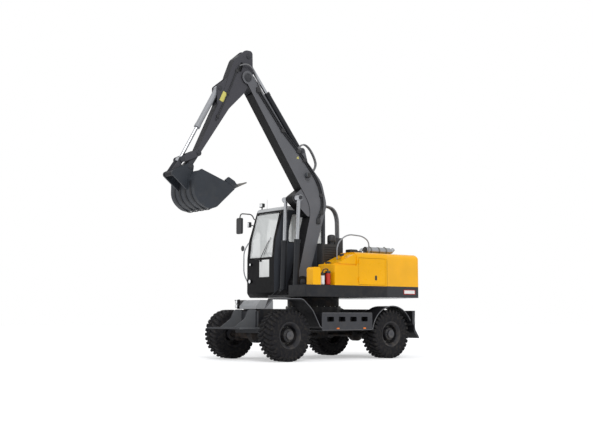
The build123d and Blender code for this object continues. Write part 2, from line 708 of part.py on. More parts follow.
def make_cylinder(row):
    """Barrel and rod from base to eye, repeated at each place; the eye holds its own pin."""
    name, base, eye, places, barrel_r, barrel_end, rod_r, pin_r, travel = row
    length = span(base, eye)
    barrels = []
    rods = []
    eye_r = barrel_r * EYE_SHARE
    half = barrel_r + CYL_EYE_OUT
    bore_from = eye_r + BORE_START
    rod_from = bore_from + travel + ROD_END_GAP
    for y in places:
        barrel = between(base, eye, y, barrel_r, eye_r * 0.7, barrel_end)
        barrel += rod_y(base, eye_r, y - half, y + half)
        barrel += between(base, eye, y, barrel_r + GLAND_OUT, barrel_end - GLAND_L, barrel_end)
        barrel -= rod_y(base, pin_r + PIN_FIT, y - half, y + half)
        barrel -= between(base, eye, y, rod_r + PIN_FIT, bore_from, barrel_end)
        barrels.append(barrel)
        rod = between(base, eye, y, rod_r, rod_from, length - eye_r * 0.7)
        rod += rod_y(eye, eye_r, y - half, y + half)
        rods.append(rod)
    save(name + "_cylinder_barrel", Compound(children=barrels))
    save(name + "_cylinder_rod", Compound(children=rods))


def make_boom():
    """Boom with its foot, belly ears, forked tip and the base of the arm cylinder."""
    y_low = BOOM_Y - BOOM_HALF
    y_high = BOOM_Y + BOOM_HALF
    body = plate([
        (500, 1640), (400, 1840, 0), (-70, 3290, 420), (70, 3790, 500), (700, 4440, 150), (900, 4590, 200),
        (1905, 5880, 60), (2110, 5770, 60), (350, 3200, 560), (BOOM_FOOT[0] + 110, 1640, 0),
    ], y_low, y_high)
    body += rod_y(BOOM_FOOT, 132.0, y_low, y_high)
    body += rod_y(BOOM_TIP, 138.0, y_low, y_high)
    slot_half = ARM_HALF + SIDE_GAP
    away = atan2(2420, 2060)
    bottom = along(BOOM_TIP, (BOOM_TIP[0] - cos(away), BOOM_TIP[1] - sin(away)), 300)
    slot = belt([(bottom[0], bottom[1], 40), (bottom[0] + 330 * sin(away), bottom[1] - 330 * cos(away), 40),
                 (BOOM_TIP[0] + 330 * sin(away) + 300 * cos(away), BOOM_TIP[1] - 330 * cos(away) + 300 * sin(away), 40),
                 (BOOM_TIP[0] - 330 * sin(away) + 300 * cos(away), BOOM_TIP[1] + 330 * cos(away) + 300 * sin(away), 40),
                 (bottom[0] - 330 * sin(away), bottom[1] + 330 * cos(away), 40)],
                BOOM_Y - slot_half, BOOM_Y + slot_half)
    body -= slot
    body -= belt([(BOOM_TIP[0] - 100, BOOM_TIP[1] - 150, 30), (BOOM_TIP[0] - 640, BOOM_TIP[1] - 235, 40),
                  (BOOM_TIP[0] - 640, BOOM_TIP[1] + 100, 40), (BOOM_TIP[0] - 100, BOOM_TIP[1] + 100, 30)],
                 BOOM_Y - slot_half, BOOM_Y + slot_half)
    body += rod_y(BOOM_TIP, TIP_PIN_R, y_low - 12, y_high + 12)
    body -= rod_y(BOOM_FOOT, FOOT_PIN_R + PIN_FIT, y_low, y_high)
    face = BOOM_CYL_Y - BOOM_CYL_R - CYL_EYE_OUT - SIDE_GAP
    body += belt([(BOOM_CYL_TOP[0], BOOM_CYL_TOP[1], 80), (440, 3660, 60), (400, 3420, 40),
                  (430, 3080, 60)], y_low + BELLY_EAR_IN, y_high - BELLY_EAR_IN)
    body += rod_y(BOOM_CYL_TOP, 66.0, BOOM_Y - face, BOOM_Y + face)
    face = ARM_CYL_R + CYL_EYE_OUT + SIDE_GAP
    for sign in (1, -1):
        middle = BOOM_Y + sign * (face + EAR_T / 2)
        body += belt([(ARM_CYL_BASE[0], ARM_CYL_BASE[1], 70), (440, 3985, 60), (860, 4430, 60)],
                     middle - EAR_T / 2, middle + EAR_T / 2)
    body += rod_y(ARM_CYL_BASE, CYL_PIN_R, BOOM_Y - face - EAR_T, BOOM_Y + face + EAR_T)
    save("boom", body)


def make_arm():
    """Arm with its tail plates, pivot boss, cylinder bracket and nose."""
    low = BOOM_Y - ARM_HALF
    high = BOOM_Y + ARM_HALF
    body = plate([
        (1902, 6392, 70), (2080, 6388, 120), (2345, 6160, 160), (2470, 5850, 150), (2600, 5480, 150),
        (3270, 4060, 60), (BUCKET_PIN[0] + 57, BUCKET_PIN[1] + 36, 20), (BUCKET_PIN[0] - 20, BUCKET_PIN[1] - 62, 20),
        (2480, 5100, 500), (2128, 5450, 60), (BOOM_TIP[0] - 150, BOOM_TIP[1] - 30, 90),
    ], low, high)
    body += rod_y(BUCKET_PIN, NOSE_R, low, high)
    body += rod_y(BOOM_TIP, 152.0, low, high)
    body -= rod_y(BOOM_TIP, TIP_PIN_R + PIN_FIT, low, high)
    tail_half = ARM_CYL_R + CYL_EYE_OUT + SIDE_GAP
    cheek = belt([(1800, 6560, 40), (1800, 5990, 40), (1900, 6055, 36), (2025, 6162, 76), (2092, 6326, 76),
                  (2330, 6560, 40)], BOOM_Y - tail_half, BOOM_Y + tail_half)
    body -= cheek
    body -= belt([(2170, 6080, 34), (2260, 5960, 30), (2200, 5925, 24)], low, high)
    for sign in (1, -1):
        cap = sign * (ARM_HALF + 8)
        body += rod_y(ARM_TAIL, CYL_PIN_R + 12, BOOM_Y + min(cap, cap - sign * 20), BOOM_Y + max(cap, cap - sign * 20))
    for sign in (1, -1):
        middle = BOOM_Y + sign * (BUCKET_CYL_R + CYL_EYE_OUT + SIDE_GAP + EAR_T / 2)
        body += belt([(BUCKET_CYL_BASE[0], BUCKET_CYL_BASE[1], 68), (2440, 5720, 60), (2500, 5460, 60),
                      (2700, 5120, 60)], middle - EAR_T / 2, middle + EAR_T / 2)
    face = BUCKET_CYL_R + CYL_EYE_OUT + SIDE_GAP + EAR_T
    body += rod_y(BUCKET_CYL_BASE, CYL_PIN_R, BOOM_Y - face, BOOM_Y + face)
    rocker_out = ARM_HALF + SIDE_GAP + ROCKER_T
    body += rod_y(ROCKER_PIN, ROCKER_PIN_R, BOOM_Y - rocker_out, BOOM_Y + rocker_out)
    ear_out = rocker_out + SIDE_GAP + BRACKET_T
    body += rod_y(BUCKET_PIN, BUCKET_PIN_R, BOOM_Y - ear_out, BOOM_Y + ear_out)
    save("arm", body)


def make_linkage():
    """Rocker plates on the arm, and the link from them to the bucket."""
    rocker_in = ARM_HALF + SIDE_GAP
    link_in = BUCKET_CYL_R + CYL_EYE_OUT + SIDE_GAP
    link_out = link_in + EAR_T
    plates = []
    for sign in (1, -1):
        middle = BOOM_Y + sign * (rocker_in + ROCKER_T / 2)
        side = belt([(ROCKER_PIN[0], ROCKER_PIN[1], 66), (LINK_PIN[0], LINK_PIN[1], 62)],
                    middle - ROCKER_T / 2, middle + ROCKER_T / 2)
        side -= rod_y(ROCKER_PIN, ROCKER_PIN_R + PIN_FIT, middle - ROCKER_T, middle + ROCKER_T)
        ends = (BOOM_Y + sign * link_in, BOOM_Y + sign * (rocker_in + ROCKER_T / 2))
        side += rod_y(LINK_PIN, ROCKER_PIN_R, min(ends), max(ends))
        plates.append(side)
    save("rocker", Compound(children=plates))

    boss_half = rocker_in + ROCKER_T
    sides = []
    for sign in (1, -1):
        middle = BOOM_Y + sign * (link_in + EAR_T / 2)
        side = belt([(LINK_PIN[0], LINK_PIN[1], 49), (BUCKET_EAR[0], BUCKET_EAR[1], 49)],
                    middle - EAR_T / 2, middle + EAR_T / 2)
        side -= rod_y(LINK_PIN, ROCKER_PIN_R + PIN_FIT, middle - EAR_T, middle + EAR_T)
        sides.append(side)
    boss = rod_y(BUCKET_EAR, 50.0, BOOM_Y - boss_half, BOOM_Y + boss_half)
    save("bucket_link", fused(sides + [boss]))


def make_bucket():
    """Open bucket with curved wrapper, side plates, teeth and hinge ears."""
    outer = [
        (3395, 3705, 30), (3490, 3560, 60), (3495, 3190, 330), (3170, 2935, 330), (2965, 3030, 60),
        (2560, 3400), (2500, 3480), (2640, 3500), (3330, 3745, 20),
    ]
    y_low = BOOM_Y - BUCKET_HALF
    y_high = BOOM_Y + BUCKET_HALF
    wall = BUCKET_WALL
    shell = plate(outer, y_low, y_high)
    inner = [
        (3380, 3900), (3380, 3680), (3463, 3545, 50), (3466, 3205, 305), (3170, 2968, 305), (2980, 3056, 60),
        (2500, 3500), (2400, 3700),
    ]
    shell -= plate(inner, y_low + wall, y_high - wall)
    cavity = [(3380, 3690), *inner[1:-2], (2500, 3500), (2400, 3690)]
    pieces = [shell]
    tooth_pitch = (2 * BUCKET_HALF - 150) / 4
    for i in range(5):
        y = BOOM_Y - 2 * tooth_pitch + i * tooth_pitch
        pieces.append(plate([(2640, 3372), (2585, 3400), (2235, 3560), (2250, 3578), (2540, 3500),
                             (2600, 3440)], y - 42, y + 42))
    for sign in (1, -1):
        y = BOOM_Y + sign * (BUCKET_HALF - wall / 2)
        pieces.append(plate([(2790, 3570), (2700, 3640, 10), (2560, 3570, 10), (2500, 3500), (2560, 3440)],
                            y - 16, y + 16))
        y = BOOM_Y + sign * (ARM_HALF + SIDE_GAP + ROCKER_T + SIDE_GAP + 18)
        ear = belt([(BUCKET_PIN[0], BUCKET_PIN[1], 76), (3462, 3380, 45), (BUCKET_EAR[0], BUCKET_EAR[1], 58)],
                   y - 18, y + 18)
        ear -= plate(cavity, y - 18, y + 18)
        ear -= rod_y(BUCKET_PIN, BUCKET_PIN_R + PIN_FIT, y - 18, y + 18)
        pieces.append(ear)
    save("bucket", fused(pieces))


def make_upper():
    """Deck with skirts and boom brackets, counterweight, hood, tank and toolbox."""
    back = -sqrt(TAIL_R ** 2 - UPPER_HALF ** 2)
    deck_edges = [
        Line((WEIGHT_FRONT + SEAT_GAP, UPPER_HALF, 0), (DECK_FRONT - 70, UPPER_HALF, 0)),
        Line((DECK_FRONT - 70, UPPER_HALF, 0), (DECK_FRONT, UPPER_HALF - 70, 0)),
        Line((DECK_FRONT, UPPER_HALF - 70, 0), (DECK_FRONT, CAB_IN + 20, 0)),
        Line((DECK_FRONT, CAB_IN + 20, 0), (CAB_REAR - 12, CAB_IN + 20, 0)),
        Line((CAB_REAR - 12, CAB_IN + 20, 0), (CAB_REAR - 12, -UPPER_HALF, 0)),
        Line((CAB_REAR - 12, -UPPER_HALF, 0), (WEIGHT_FRONT + SEAT_GAP, -UPPER_HALF, 0)),
        Line((WEIGHT_FRONT + SEAT_GAP, -UPPER_HALF, 0), (WEIGHT_FRONT + SEAT_GAP, UPPER_HALF, 0)),
    ]
    outline = Pos(0, 0, DECK_LOW) * Face(Wire(deck_edges))
    deck = extrude(outline, amount=DECK_T, dir=(0, 0, 1))
    skirt_in = UPPER_HALF - SKIRT_T
    deck += block(WEIGHT_FRONT + SEAT_GAP, DECK_FRONT - 70, skirt_in, UPPER_HALF, DECK_LOW, SKIRT_TOP)
    deck += block(WEIGHT_FRONT + SEAT_GAP, CAB_REAR - 12, -UPPER_HALF, -skirt_in, DECK_LOW, SKIRT_TOP)
    corner = Polyline((DECK_FRONT - 70, UPPER_HALF, 0), (DECK_FRONT, UPPER_HALF - 70, 0),
                      (DECK_FRONT, 560, 0), (DECK_FRONT - SKIRT_T, 560, 0),
                      (DECK_FRONT - SKIRT_T, UPPER_HALF - 82, 0),
                      (DECK_FRONT - 82, UPPER_HALF - SKIRT_T, 0), close=True)
    deck += extrude(Pos(0, 0, DECK_LOW) * Face(Wire(corner.edges())), amount=SKIRT_TOP - DECK_LOW,
                    dir=(0, 0, 1))
    deck += block(TANK_FRONT, DECK_FRONT - SKIRT_T, TANK_IN + 80, skirt_in, SKIRT_TOP - 30, SKIRT_TOP)
    face = BOOM_HALF + SIDE_GAP
    for sign in (1, -1):
        middle = BOOM_Y + sign * (face + BRACKET_T / 2)
        cheek = belt([(BOOM_FOOT[0], BOOM_FOOT[1], 135), (-120, 1560, 40), (-230, DECK_LOW + 42, 40),
                      (BOOM_CYL_FOOT[0] - 150, DECK_LOW + 42, 40)], middle - BRACKET_T / 2,
                     middle + BRACKET_T / 2)
        deck += cheek
        inner = BOOM_CYL_Y - BOOM_CYL_R - CYL_EYE_OUT - SIDE_GAP
        outer = BOOM_CYL_Y + BOOM_CYL_R + CYL_EYE_OUT + SIDE_GAP
        for low, high in ((face, inner), (outer, outer + OUTER_EAR_T)):
            ends = (BOOM_Y + sign * low, BOOM_Y + sign * high)
            deck += belt([(BOOM_CYL_FOOT[0], BOOM_CYL_FOOT[1], 66), (820, DECK_LOW + 30, 20),
                          (DECK_FRONT - 30, DECK_LOW + 30, 20)], min(ends), max(ends))
        ends = (BOOM_Y + sign * face, BOOM_Y + sign * (outer + OUTER_EAR_T))
        deck += rod_y(BOOM_CYL_FOOT, CYL_PIN_R, min(ends), max(ends))
    deck += rod_y(BOOM_FOOT, FOOT_PIN_R, BOOM_Y - face - BRACKET_T, BOOM_Y + face + BRACKET_T)
    race = tube_z((0, 0), RING_BORE - RING_FIT, CHASSIS_TOP + TURRET_PLATE + RUN_GAP, DECK_LOW)
    race -= tube_z((0, 0), RING_BORE - 90, CHASSIS_TOP + TURRET_PLATE + RUN_GAP, DECK_LOW)
    deck += race
    save("deck_frame", deck)

    weight_plan = Face(Wire([
        Line((WEIGHT_FRONT, -UPPER_HALF, 0), (WEIGHT_FRONT, UPPER_HALF, 0)),
        Line((WEIGHT_FRONT, UPPER_HALF, 0), (back, UPPER_HALF, 0)),
        ThreePointArc((back, UPPER_HALF, 0), (-TAIL_R, 0, 0), (back, -UPPER_HALF, 0)),
        Line((back, -UPPER_HALF, 0), (WEIGHT_FRONT, -UPPER_HALF, 0)),
    ]))
    weight = extrude(Pos(0, 0, DECK_LOW) * weight_plan, amount=HOOD_TOP - DECK_LOW, dir=(0, 0, 1))
    top_edges = [e for e in weight.edges() if e.bounding_box().min.Z > HOOD_TOP - 1
                 and e.bounding_box().min.X < WEIGHT_FRONT - 1]
    weight = fillet(top_edges, HOOD_ROUND)
    save("counterweight", weight)

    wall = HOOD_WALL
    rear = WEIGHT_FRONT + SEAT_GAP
    bays = ((HOOD_FRONT, TANK_IN, UPPER_HALF), (BAY_FRONT, -UPPER_HALF, TANK_IN))
    hood = fused([block(rear, front, low, high, SKIRT_TOP, HOOD_TOP) for front, low, high in bays])
    side_edges = [e for e in hood.edges() if e.bounding_box().min.Z > HOOD_TOP - 1
                  and e.bounding_box().size.X > 100 and abs(e.center().Y) > UPPER_HALF - 1]
    hood = fillet(side_edges, HOOD_ROUND)
    hood -= block(rear - 1, HOOD_FRONT - wall, TANK_IN + wall, UPPER_HALF - wall, SKIRT_TOP - 1, HOOD_TOP - wall)
    hood -= block(rear - 1, BAY_FRONT - wall, -UPPER_HALF + wall, TANK_IN + wall + 1, SKIRT_TOP - 1,
                  HOOD_TOP - wall)
    hood -= door_box(HOOD_FRONT, 0)
    hood -= mirrored(door_box(BAY_FRONT, 0))
    hood -= lid_box(0)
    wedge = plate([(HOOD_FRONT, TANK_TOP + SEAT_GAP), (220, TANK_TOP + SEAT_GAP), (220, TANK_TOP + 30, 10),
                   (HOOD_FRONT, HOOD_TOP - 30)], TANK_IN, UPPER_HALF - 20)
    hood += wedge
    hood += Pos(20, UPPER_HALF - 160, 2130) * Rotation(0, 24, 0) * Cylinder(45, 90)
    seam = DOOR_FRAME + DOOR_GAP / 2
    levels = (SKIRT_TOP + 130, HOOD_TOP - 200)
    off = SMALL_HINGE
    near = [(HOOD_FRONT - seam, UPPER_HALF + off, z) for z in levels]
    hood, near_door = hung(hood, door_box(HOOD_FRONT, DOOR_GAP), off, near, (-1, 0, 0), (0, 0, -1))
    far = [(BAY_FRONT - seam, -UPPER_HALF - off, z) for z in levels]
    hood, far_door = hung(hood, mirrored(door_box(BAY_FRONT, DOOR_GAP)), off, far, (-1, 0, 0), (0, 0, 1))
    top = [(BAY_FRONT - LID_FRAME - DOOR_GAP / 2, y, HOOD_TOP + off) for y in (-400, 420)]
    hood, lid = hung(hood, lid_box(DOOR_GAP), off, top, (-1, 0, 0), (0, 1, 0))
    save("hood", hood)
    save("service_door_left", near_door)
    save("service_door_right", far_door)
    save("hood_lid", lid)

    tank = plate([(HOOD_FRONT + SEAT_GAP, DECK_LOW + DECK_T), (TANK_FRONT, DECK_LOW + DECK_T),
                  (TANK_FRONT, TANK_TOP, 30), (HOOD_FRONT + SEAT_GAP, TANK_TOP)], TANK_IN, UPPER_HALF - SKIRT_T - 1)
    tank += block(HOOD_FRONT + SEAT_GAP, TANK_FRONT - 1, UPPER_HALF - 60, UPPER_HALF, SKIRT_TOP + 1, TANK_TOP - 30)
    save("fuel_tank", tank)

    toolbox = plate([(TOOLBOX_BACK, SKIRT_TOP), (TOOLBOX_FRONT, SKIRT_TOP), (TOOLBOX_FRONT, TOOLBOX_TOP, 60),
                     (TOOLBOX_BACK, TOOLBOX_TOP, 60)], TOOLBOX_IN, UPPER_HALF - 6)
    save("toolbox", toolbox)

    engine = block(-1070, BAY_FRONT - 80, -620, 560, DECK_LOW + DECK_T, 2080)
    save("engine", engine)

    side = BOOM_Y + BOOM_HALF + SIDE_GAP + BRACKET_T + RUN_GAP
    outer = TANK_IN - RUN_GAP
    cooler_rear = HOOD_FRONT + RUN_GAP
    cooler = block(cooler_rear, COOLER_FRONT, side, outer, DECK_LOW + DECK_T, COOLER_TOP)
    for i in range(7):
        z = COOLER_TOP - 60 - i * SLAT_PITCH
        cooler -= block(cooler_rear + 40, COOLER_FRONT - 40, outer - 20, outer + 1, z - SLAT_PITCH / 2, z)
    hose_box = block(HOSE_BOX_REAR, HOSE_BOX_FRONT, BOOM_Y - BOOM_HALF, BOOM_Y + BOOM_HALF, DECK_LOW + DECK_T,
                     HOSE_BOX_TOP)
    cooler = Compound(children=[cooler, hose_box])
    save("cooler", cooler)

    muffler = rod_x((-880, -1600), 720, HOOD_TOP + 84, 78)
    muffler += rod_x((-1600, -1680), 720, HOOD_TOP + 84, 42)
    muffler += Pos(-1690, 720, HOOD_TOP + 104) * Rotation(0, -50, 0) * Cylinder(42, 100)
    for x in (-1000, -1450):
        muffler += block(x - 20, x + 20, 690, 750, HOOD_TOP + SEAT_GAP, HOOD_TOP + 30)
    save("muffler", muffler)


def rod_x(ends, y, z, radius):
    """Cylinder along X between two x values."""
    middle = (ends[0] + ends[1]) / 2
    return Pos(middle, y, z) * Rotation(0, 90, 0) * Cylinder(radius, abs(ends[1] - ends[0]))


def door_box(front, gap):
    """Engine door in the near wall of the hood, smaller than its hole by a gap all round."""
    out = 0 if gap else 1
    return block(WEIGHT_FRONT + DOOR_FRAME + gap, front - DOOR_FRAME - gap, UPPER_HALF - HOOD_WALL - out,
                 UPPER_HALF + out, SKIRT_TOP + 20 + gap, HOOD_TOP - HOOD_ROUND - 10 - gap)


def hinge(off):
    """Fixed and moving halves of a hinge about Z, on a face at y = -off; the fixed one towards -X."""
    radius = off - SEAT_GAP
    third = HINGE_L / 3
    fixed = Cylinder(HINGE_PIN_R, HINGE_L)
    for z in (-third, third):
        fixed += Pos(0, 0, z) * Cylinder(radius, third)
        fixed += block(-HINGE_LEAF, 0, -off, -off + LEAF_T, z - third / 2, z + third / 2)
    middle = third / 2 - 1
    moving = Cylinder(radius, 2 * middle) + block(0, HINGE_LEAF, -off, -off + LEAF_T, -middle, middle)
    moving -= Cylinder(HINGE_PIN_R + PIN_FIT, third)
    return fixed, moving


def hung(carrier, door, off, places, x_dir, z_dir):
    """Carrier and door with a hinge at each place, x_dir from the carrier to the door."""
    fixed, moving = hinge(off)
    for place in places:
        spot = Plane(origin=place, x_dir=x_dir, z_dir=z_dir).location
        carrier += spot * fixed
        door += spot * moving
    return carrier, door


def lid_box(gap):
    """Engine lid in the hood's top, smaller by a gap all round."""
    low = HOOD_TOP - HOOD_WALL - (0 if gap else 1)
    high = HOOD_TOP + (0 if gap else 1)
    return block(WEIGHT_FRONT + DOOR_FRAME + gap, BAY_FRONT - LID_FRAME - gap, -LID_FAR + gap,
                 TANK_IN - LID_FRAME - gap, low, high)


def cab_side():
    """Side outline of the cab in X and Z."""
    return [
        (CAB_REAR, DECK_LOW, 40), (850, DECK_LOW, 60), (925, 1400, 60), (925, 2150, 200), (880, 2560, 200),
        (640, CAB_TOP, 90), (CAB_REAR, CAB_TOP, 60),
    ]


def make_cab():
    """Hollow cab shell with its windows cut, door on the outer side, glass and seat."""
    wall = CAB_WALL
    shell = plate(cab_side(), CAB_OUT, CAB_IN)
    room = [
        (CAB_REAR + wall, DECK_LOW + wall, 20), (850, DECK_LOW + wall, 20), (875, 1420, 40), (875, 2150, 190),
        (831, 2550, 190), (602, CAB_TOP - wall, 50), (CAB_REAR + wall, CAB_TOP - wall, 30),
    ]
    shell -= plate(room, CAB_OUT + wall, CAB_IN - wall)
    windscreen = [(700, SILL_Z), (1000, SILL_Z), (1000, 2600), (760, 3160), (560, 3160)]
    shell -= plate(windscreen, CAB_OUT + 75, CAB_IN - 75)
    side_window = [(CAB_REAR + 90, 2500, 40), (540, 2500, 40), (540, 2760, 60), (440, 3130, 50),
                   (CAB_REAR + 90, 3130, 40)]
    shell -= plate(side_window, CAB_IN - wall - 1, CAB_IN + 1)
    shell -= block(CAB_REAR - 1, CAB_REAR + wall + 1, CAB_OUT + 90, CAB_IN - 90, 2360, 3120)
    shell -= block(-300, 360, CAB_OUT + 180, CAB_IN - 180, CAB_TOP - wall - 1, CAB_TOP + 1)
    door_cut = [(DOOR_REAR, DOOR_LOW, 30), (DOOR_FRONT, DOOR_LOW, 30), (DOOR_FRONT, 2700, 60),
                (DOOR_FRONT - 60, DOOR_TOP, 60), (DOOR_REAR, DOOR_TOP, 30)]
    shell -= plate(door_cut, CAB_OUT - 1, CAB_OUT + wall + 1)
    quarter = [(DOOR_FRONT + 70, SILL_Z + 60, 30), (830, SILL_Z + 60, 30), (800, 2560, 100), (700, 2800, 60),
               (DOOR_FRONT + 70, 2800, 30)]
    shell -= plate(quarter, CAB_OUT - 1, CAB_OUT + wall + 1)

    g = DOOR_GAP
    door = plate([(DOOR_REAR + g, DOOR_LOW + g, 26), (DOOR_FRONT - g, DOOR_LOW + g, 26),
                  (DOOR_FRONT - g, 2700, 56), (DOOR_FRONT - 60 - g, DOOR_TOP - g, 56),
                  (DOOR_REAR + g, DOOR_TOP - g, 26)], CAB_OUT, CAB_OUT + wall)
    frame = 75
    pane = [(DOOR_REAR + frame, 2080, 40), (DOOR_FRONT - frame, 2080, 40), (DOOR_FRONT - frame, 2690, 60),
            (DOOR_FRONT - 60 - frame, DOOR_TOP - frame, 50), (DOOR_REAR + frame, DOOR_TOP - frame, 40)]
    door -= plate(pane, CAB_OUT - 1, CAB_OUT + wall + 1)
    levels = (DOOR_LOW + 200, (DOOR_LOW + DOOR_TOP) / 2, DOOR_TOP - 200)
    places = [(DOOR_REAR + DOOR_GAP / 2, CAB_OUT - CAB_HINGE, z) for z in levels]
    shell, door = hung(shell, door, CAB_HINGE, places, (1, 0, 0), (0, 0, -1))
    save("cab_shell", shell)
    save("cab_door", door)
    seat = CAB_OUT + wall / 2 - GLASS_T / 2
    save("door_glass", plate([(x, z, r) for x, z, r in pane], seat, seat + GLASS_T))

    glass = []
    centre = CAB_IN - wall / 2 - GLASS_T / 2
    glass.append(plate(side_window, centre, centre + GLASS_T))
    low = CAB_OUT + wall / 2 - GLASS_T / 2
    glass.append(plate(quarter, low, low + GLASS_T))
    glass.append(block(CAB_REAR + wall / 2, CAB_REAR + wall / 2 + GLASS_T, CAB_OUT + 90, CAB_IN - 90, 2360, 3120))
    glass.append(block(-300, 360, CAB_OUT + 180, CAB_IN - 180, CAB_TOP - wall / 2, CAB_TOP - wall / 2 + GLASS_T))
    front = [(906, SILL_Z), (906 + GLASS_T, SILL_Z), (866, 2568), (708, 3160), (699, 3160), (858, 2566)]
    glass.append(plate(front, CAB_OUT + 75, CAB_IN - 75))
    save("cab_glass", Compound(children=glass))

    middle = (CAB_IN + CAB_OUT) / 2
    floor = DECK_LOW + wall
    chair = block(-330, 60, middle - 160, middle + 160, floor + SEAT_GAP, floor + 380)
    chair += plate([(-360, floor + 370), (190, floor + 370, 40), (190, floor + 510, 50), (-360, floor + 500)],
                   middle - 250, middle + 250)
    chair += plate([(-400, floor + 400, 20), (-250, floor + 400, 20), (-330, 2620, 50), (-430, 2620, 40)],
                   middle - 240, middle + 240)
    save("operator_seat", chair)
    console = plate([(560, floor + SEAT_GAP), (680, floor + SEAT_GAP), (600, 2180), (520, 2180)],
                    middle - 70, middle + 70)
    wheel = Cylinder(190, 24) - Cylinder(162, 24) + Cylinder(40, 24) + Box(340, 40, 20)
    console += Pos(540, middle, 2200) * Rotation(0, -28, 0) * wheel
    for sign in (1, -1):
        y = middle + sign * 330
        console += block(-260, 190, y - 60, y + 60, floor + SEAT_GAP, floor + 640)
    save("controls", Compound(children=list(console.solids())))


def make_trim():
    """Mirrors, handrails and the hose bundle behind the boom."""
    body = block(MIRROR_X, MIRROR_X + 46, MIRROR_Y - 100, MIRROR_Y + 100, 2730, 3090)
    body = fillet(body.edges().filter_by(Axis.X), 40)
    arm = rail([(670, CAB_OUT - SEAT_GAP, 3060), (670, MIRROR_Y + 70, 3060), (690, MIRROR_Y, 3190),
                (MIRROR_X, MIRROR_Y, 3190), (MIRROR_X + 23, MIRROR_Y, 3060)], 13)
    save("mirror", body + arm)
    y = 900
    top = HOOD_TOP + SEAT_GAP
    rail_pts = [(74, y, 2095), (74, y, 2430), (-210, y, 2640), (-640, y, 2618), (-830, y, 2520), (-830, y, top)]
    wall = CAB_OUT - SEAT_GAP
    out = CAB_OUT - 60
    cab_rail = [(850, wall, 1620), (850, out, 1620), (975, out, 1830), (975, out, 2330), (855, out, 2520),
                (855, wall, 2520)]
    rails = [rail(rail_pts, 14), rail(cab_rail, 13)]
    save("handrails", Compound(children=rails))
    hoses = []
    back = -51.7
    for i in range(3):
        y = BOOM_Y + (i - 1) * HOSE_PITCH
        points = [(HOSE_X, y, HOSE_BOX_TOP + SEAT_GAP), (HOSE_X, y, 3000), (-380, y, 3230), (-230, y, 3290),
                  (back - SEAT_GAP, y, 3290)]
        hoses.append(rail(points, HOSE_R))
    print("bend radii of each hose, mm:", [round(radius) for radius in bend_radii(points)])
    save("hoses", Compound(children=hoses))


def rail(points, radius):
    """Round bar along points, bent with radii as large as its runs allow."""
    line = FilletPolyline(*points, radius=bend_radii(points)) if len(points) > 2 else Line(*points)
    start = line @ 0
    plane = Plane(origin=start, z_dir=line % 0)
    return sweep(plane * Circle(radius), path=line)


def bend_radii(points):
    """Radius at each bend: 0.45 of the shorter run over the tangent of half the turn."""
    radii = []
    for a, b, c in zip(points, points[1:], points[2:]):
        first = Vector(*b) - Vector(*a)
        second = Vector(*c) - Vector(*b)
        turn = radians(first.get_angle(second))
        radii.append(0.45 * min(first.length, second.length) / tan(turn / 2))
    return radii


make_wheels()
make_axles()
make_chassis()
make_guards()
make_front()
make_blade()
make_boom()
make_arm()
for cylinder in CYLINDERS:
    make_cylinder(cylinder)
make_linkage()
make_bucket()
make_upper()
make_cab()
make_trim()
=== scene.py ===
# %% [markdown]
# # A wheeled excavator, dressed
# The steel of the machine comes from its CAD model: this script loads it as a fixed frame.
# It then gives every part its finish, and adds the small things that hang on a real machine:
# hoses, lamps, seals, latches, nuts, pipes and ribs.
# Everything is in metres: +X is forward, +Y is the machine's left, +Z is up.

# %% The frame
import bmesh
import bpy
import numpy as np
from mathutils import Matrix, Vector


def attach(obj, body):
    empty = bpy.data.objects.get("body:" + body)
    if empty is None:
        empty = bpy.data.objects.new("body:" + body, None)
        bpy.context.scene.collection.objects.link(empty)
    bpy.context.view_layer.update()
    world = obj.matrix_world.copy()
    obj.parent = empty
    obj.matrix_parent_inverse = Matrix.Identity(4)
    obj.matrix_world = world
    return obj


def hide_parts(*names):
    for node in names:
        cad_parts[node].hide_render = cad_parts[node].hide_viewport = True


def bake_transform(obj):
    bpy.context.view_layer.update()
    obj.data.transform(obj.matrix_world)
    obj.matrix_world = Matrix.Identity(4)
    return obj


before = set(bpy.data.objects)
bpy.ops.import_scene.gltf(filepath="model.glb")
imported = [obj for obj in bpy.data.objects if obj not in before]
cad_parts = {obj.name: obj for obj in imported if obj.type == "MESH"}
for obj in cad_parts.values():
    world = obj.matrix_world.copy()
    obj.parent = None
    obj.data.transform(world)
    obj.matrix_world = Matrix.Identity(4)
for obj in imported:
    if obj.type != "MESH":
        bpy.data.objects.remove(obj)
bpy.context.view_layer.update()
scene = bpy.context.scene

# %% [markdown]
# ## The camera
# A long lens seen from the left front, low down, is how such a machine is usually photographed.
# The picture is 593 by 421, so a 36 mm wide sensor with this lens gives the same frame.
# The camera looks slightly upwards, which keeps the boom tall.

# %% Camera
EYE = Vector((13.191, 16.381, 0.919))
LOOK = Vector((-0.6101, -0.7849, 0.1084))
LENS = 58.36

camera_data = bpy.data.cameras.new("camera")
camera_data.sensor_width = 36
camera_data.lens = LENS
camera_data.clip_end = 200
camera = bpy.data.objects.new("camera", camera_data)
camera.location = EYE
camera.rotation_euler = LOOK.to_track_quat("-Z", "Y").to_euler()
scene.collection.objects.link(camera)
scene.camera = camera
print("camera at", tuple(round(v, 2) for v in EYE))

# %% [markdown]
# ## Making surfaces with numpy
# Every new piece is a grid of points worked out by a formula.
# A shell is such a grid with its faces. Shells are joined into one mesh,
# doubled points are merged, which closes seams and poles, and the faces are turned outwards.

# %% Shells and pieces
WELD = 2e-6
SHARP_DEGREES = 38


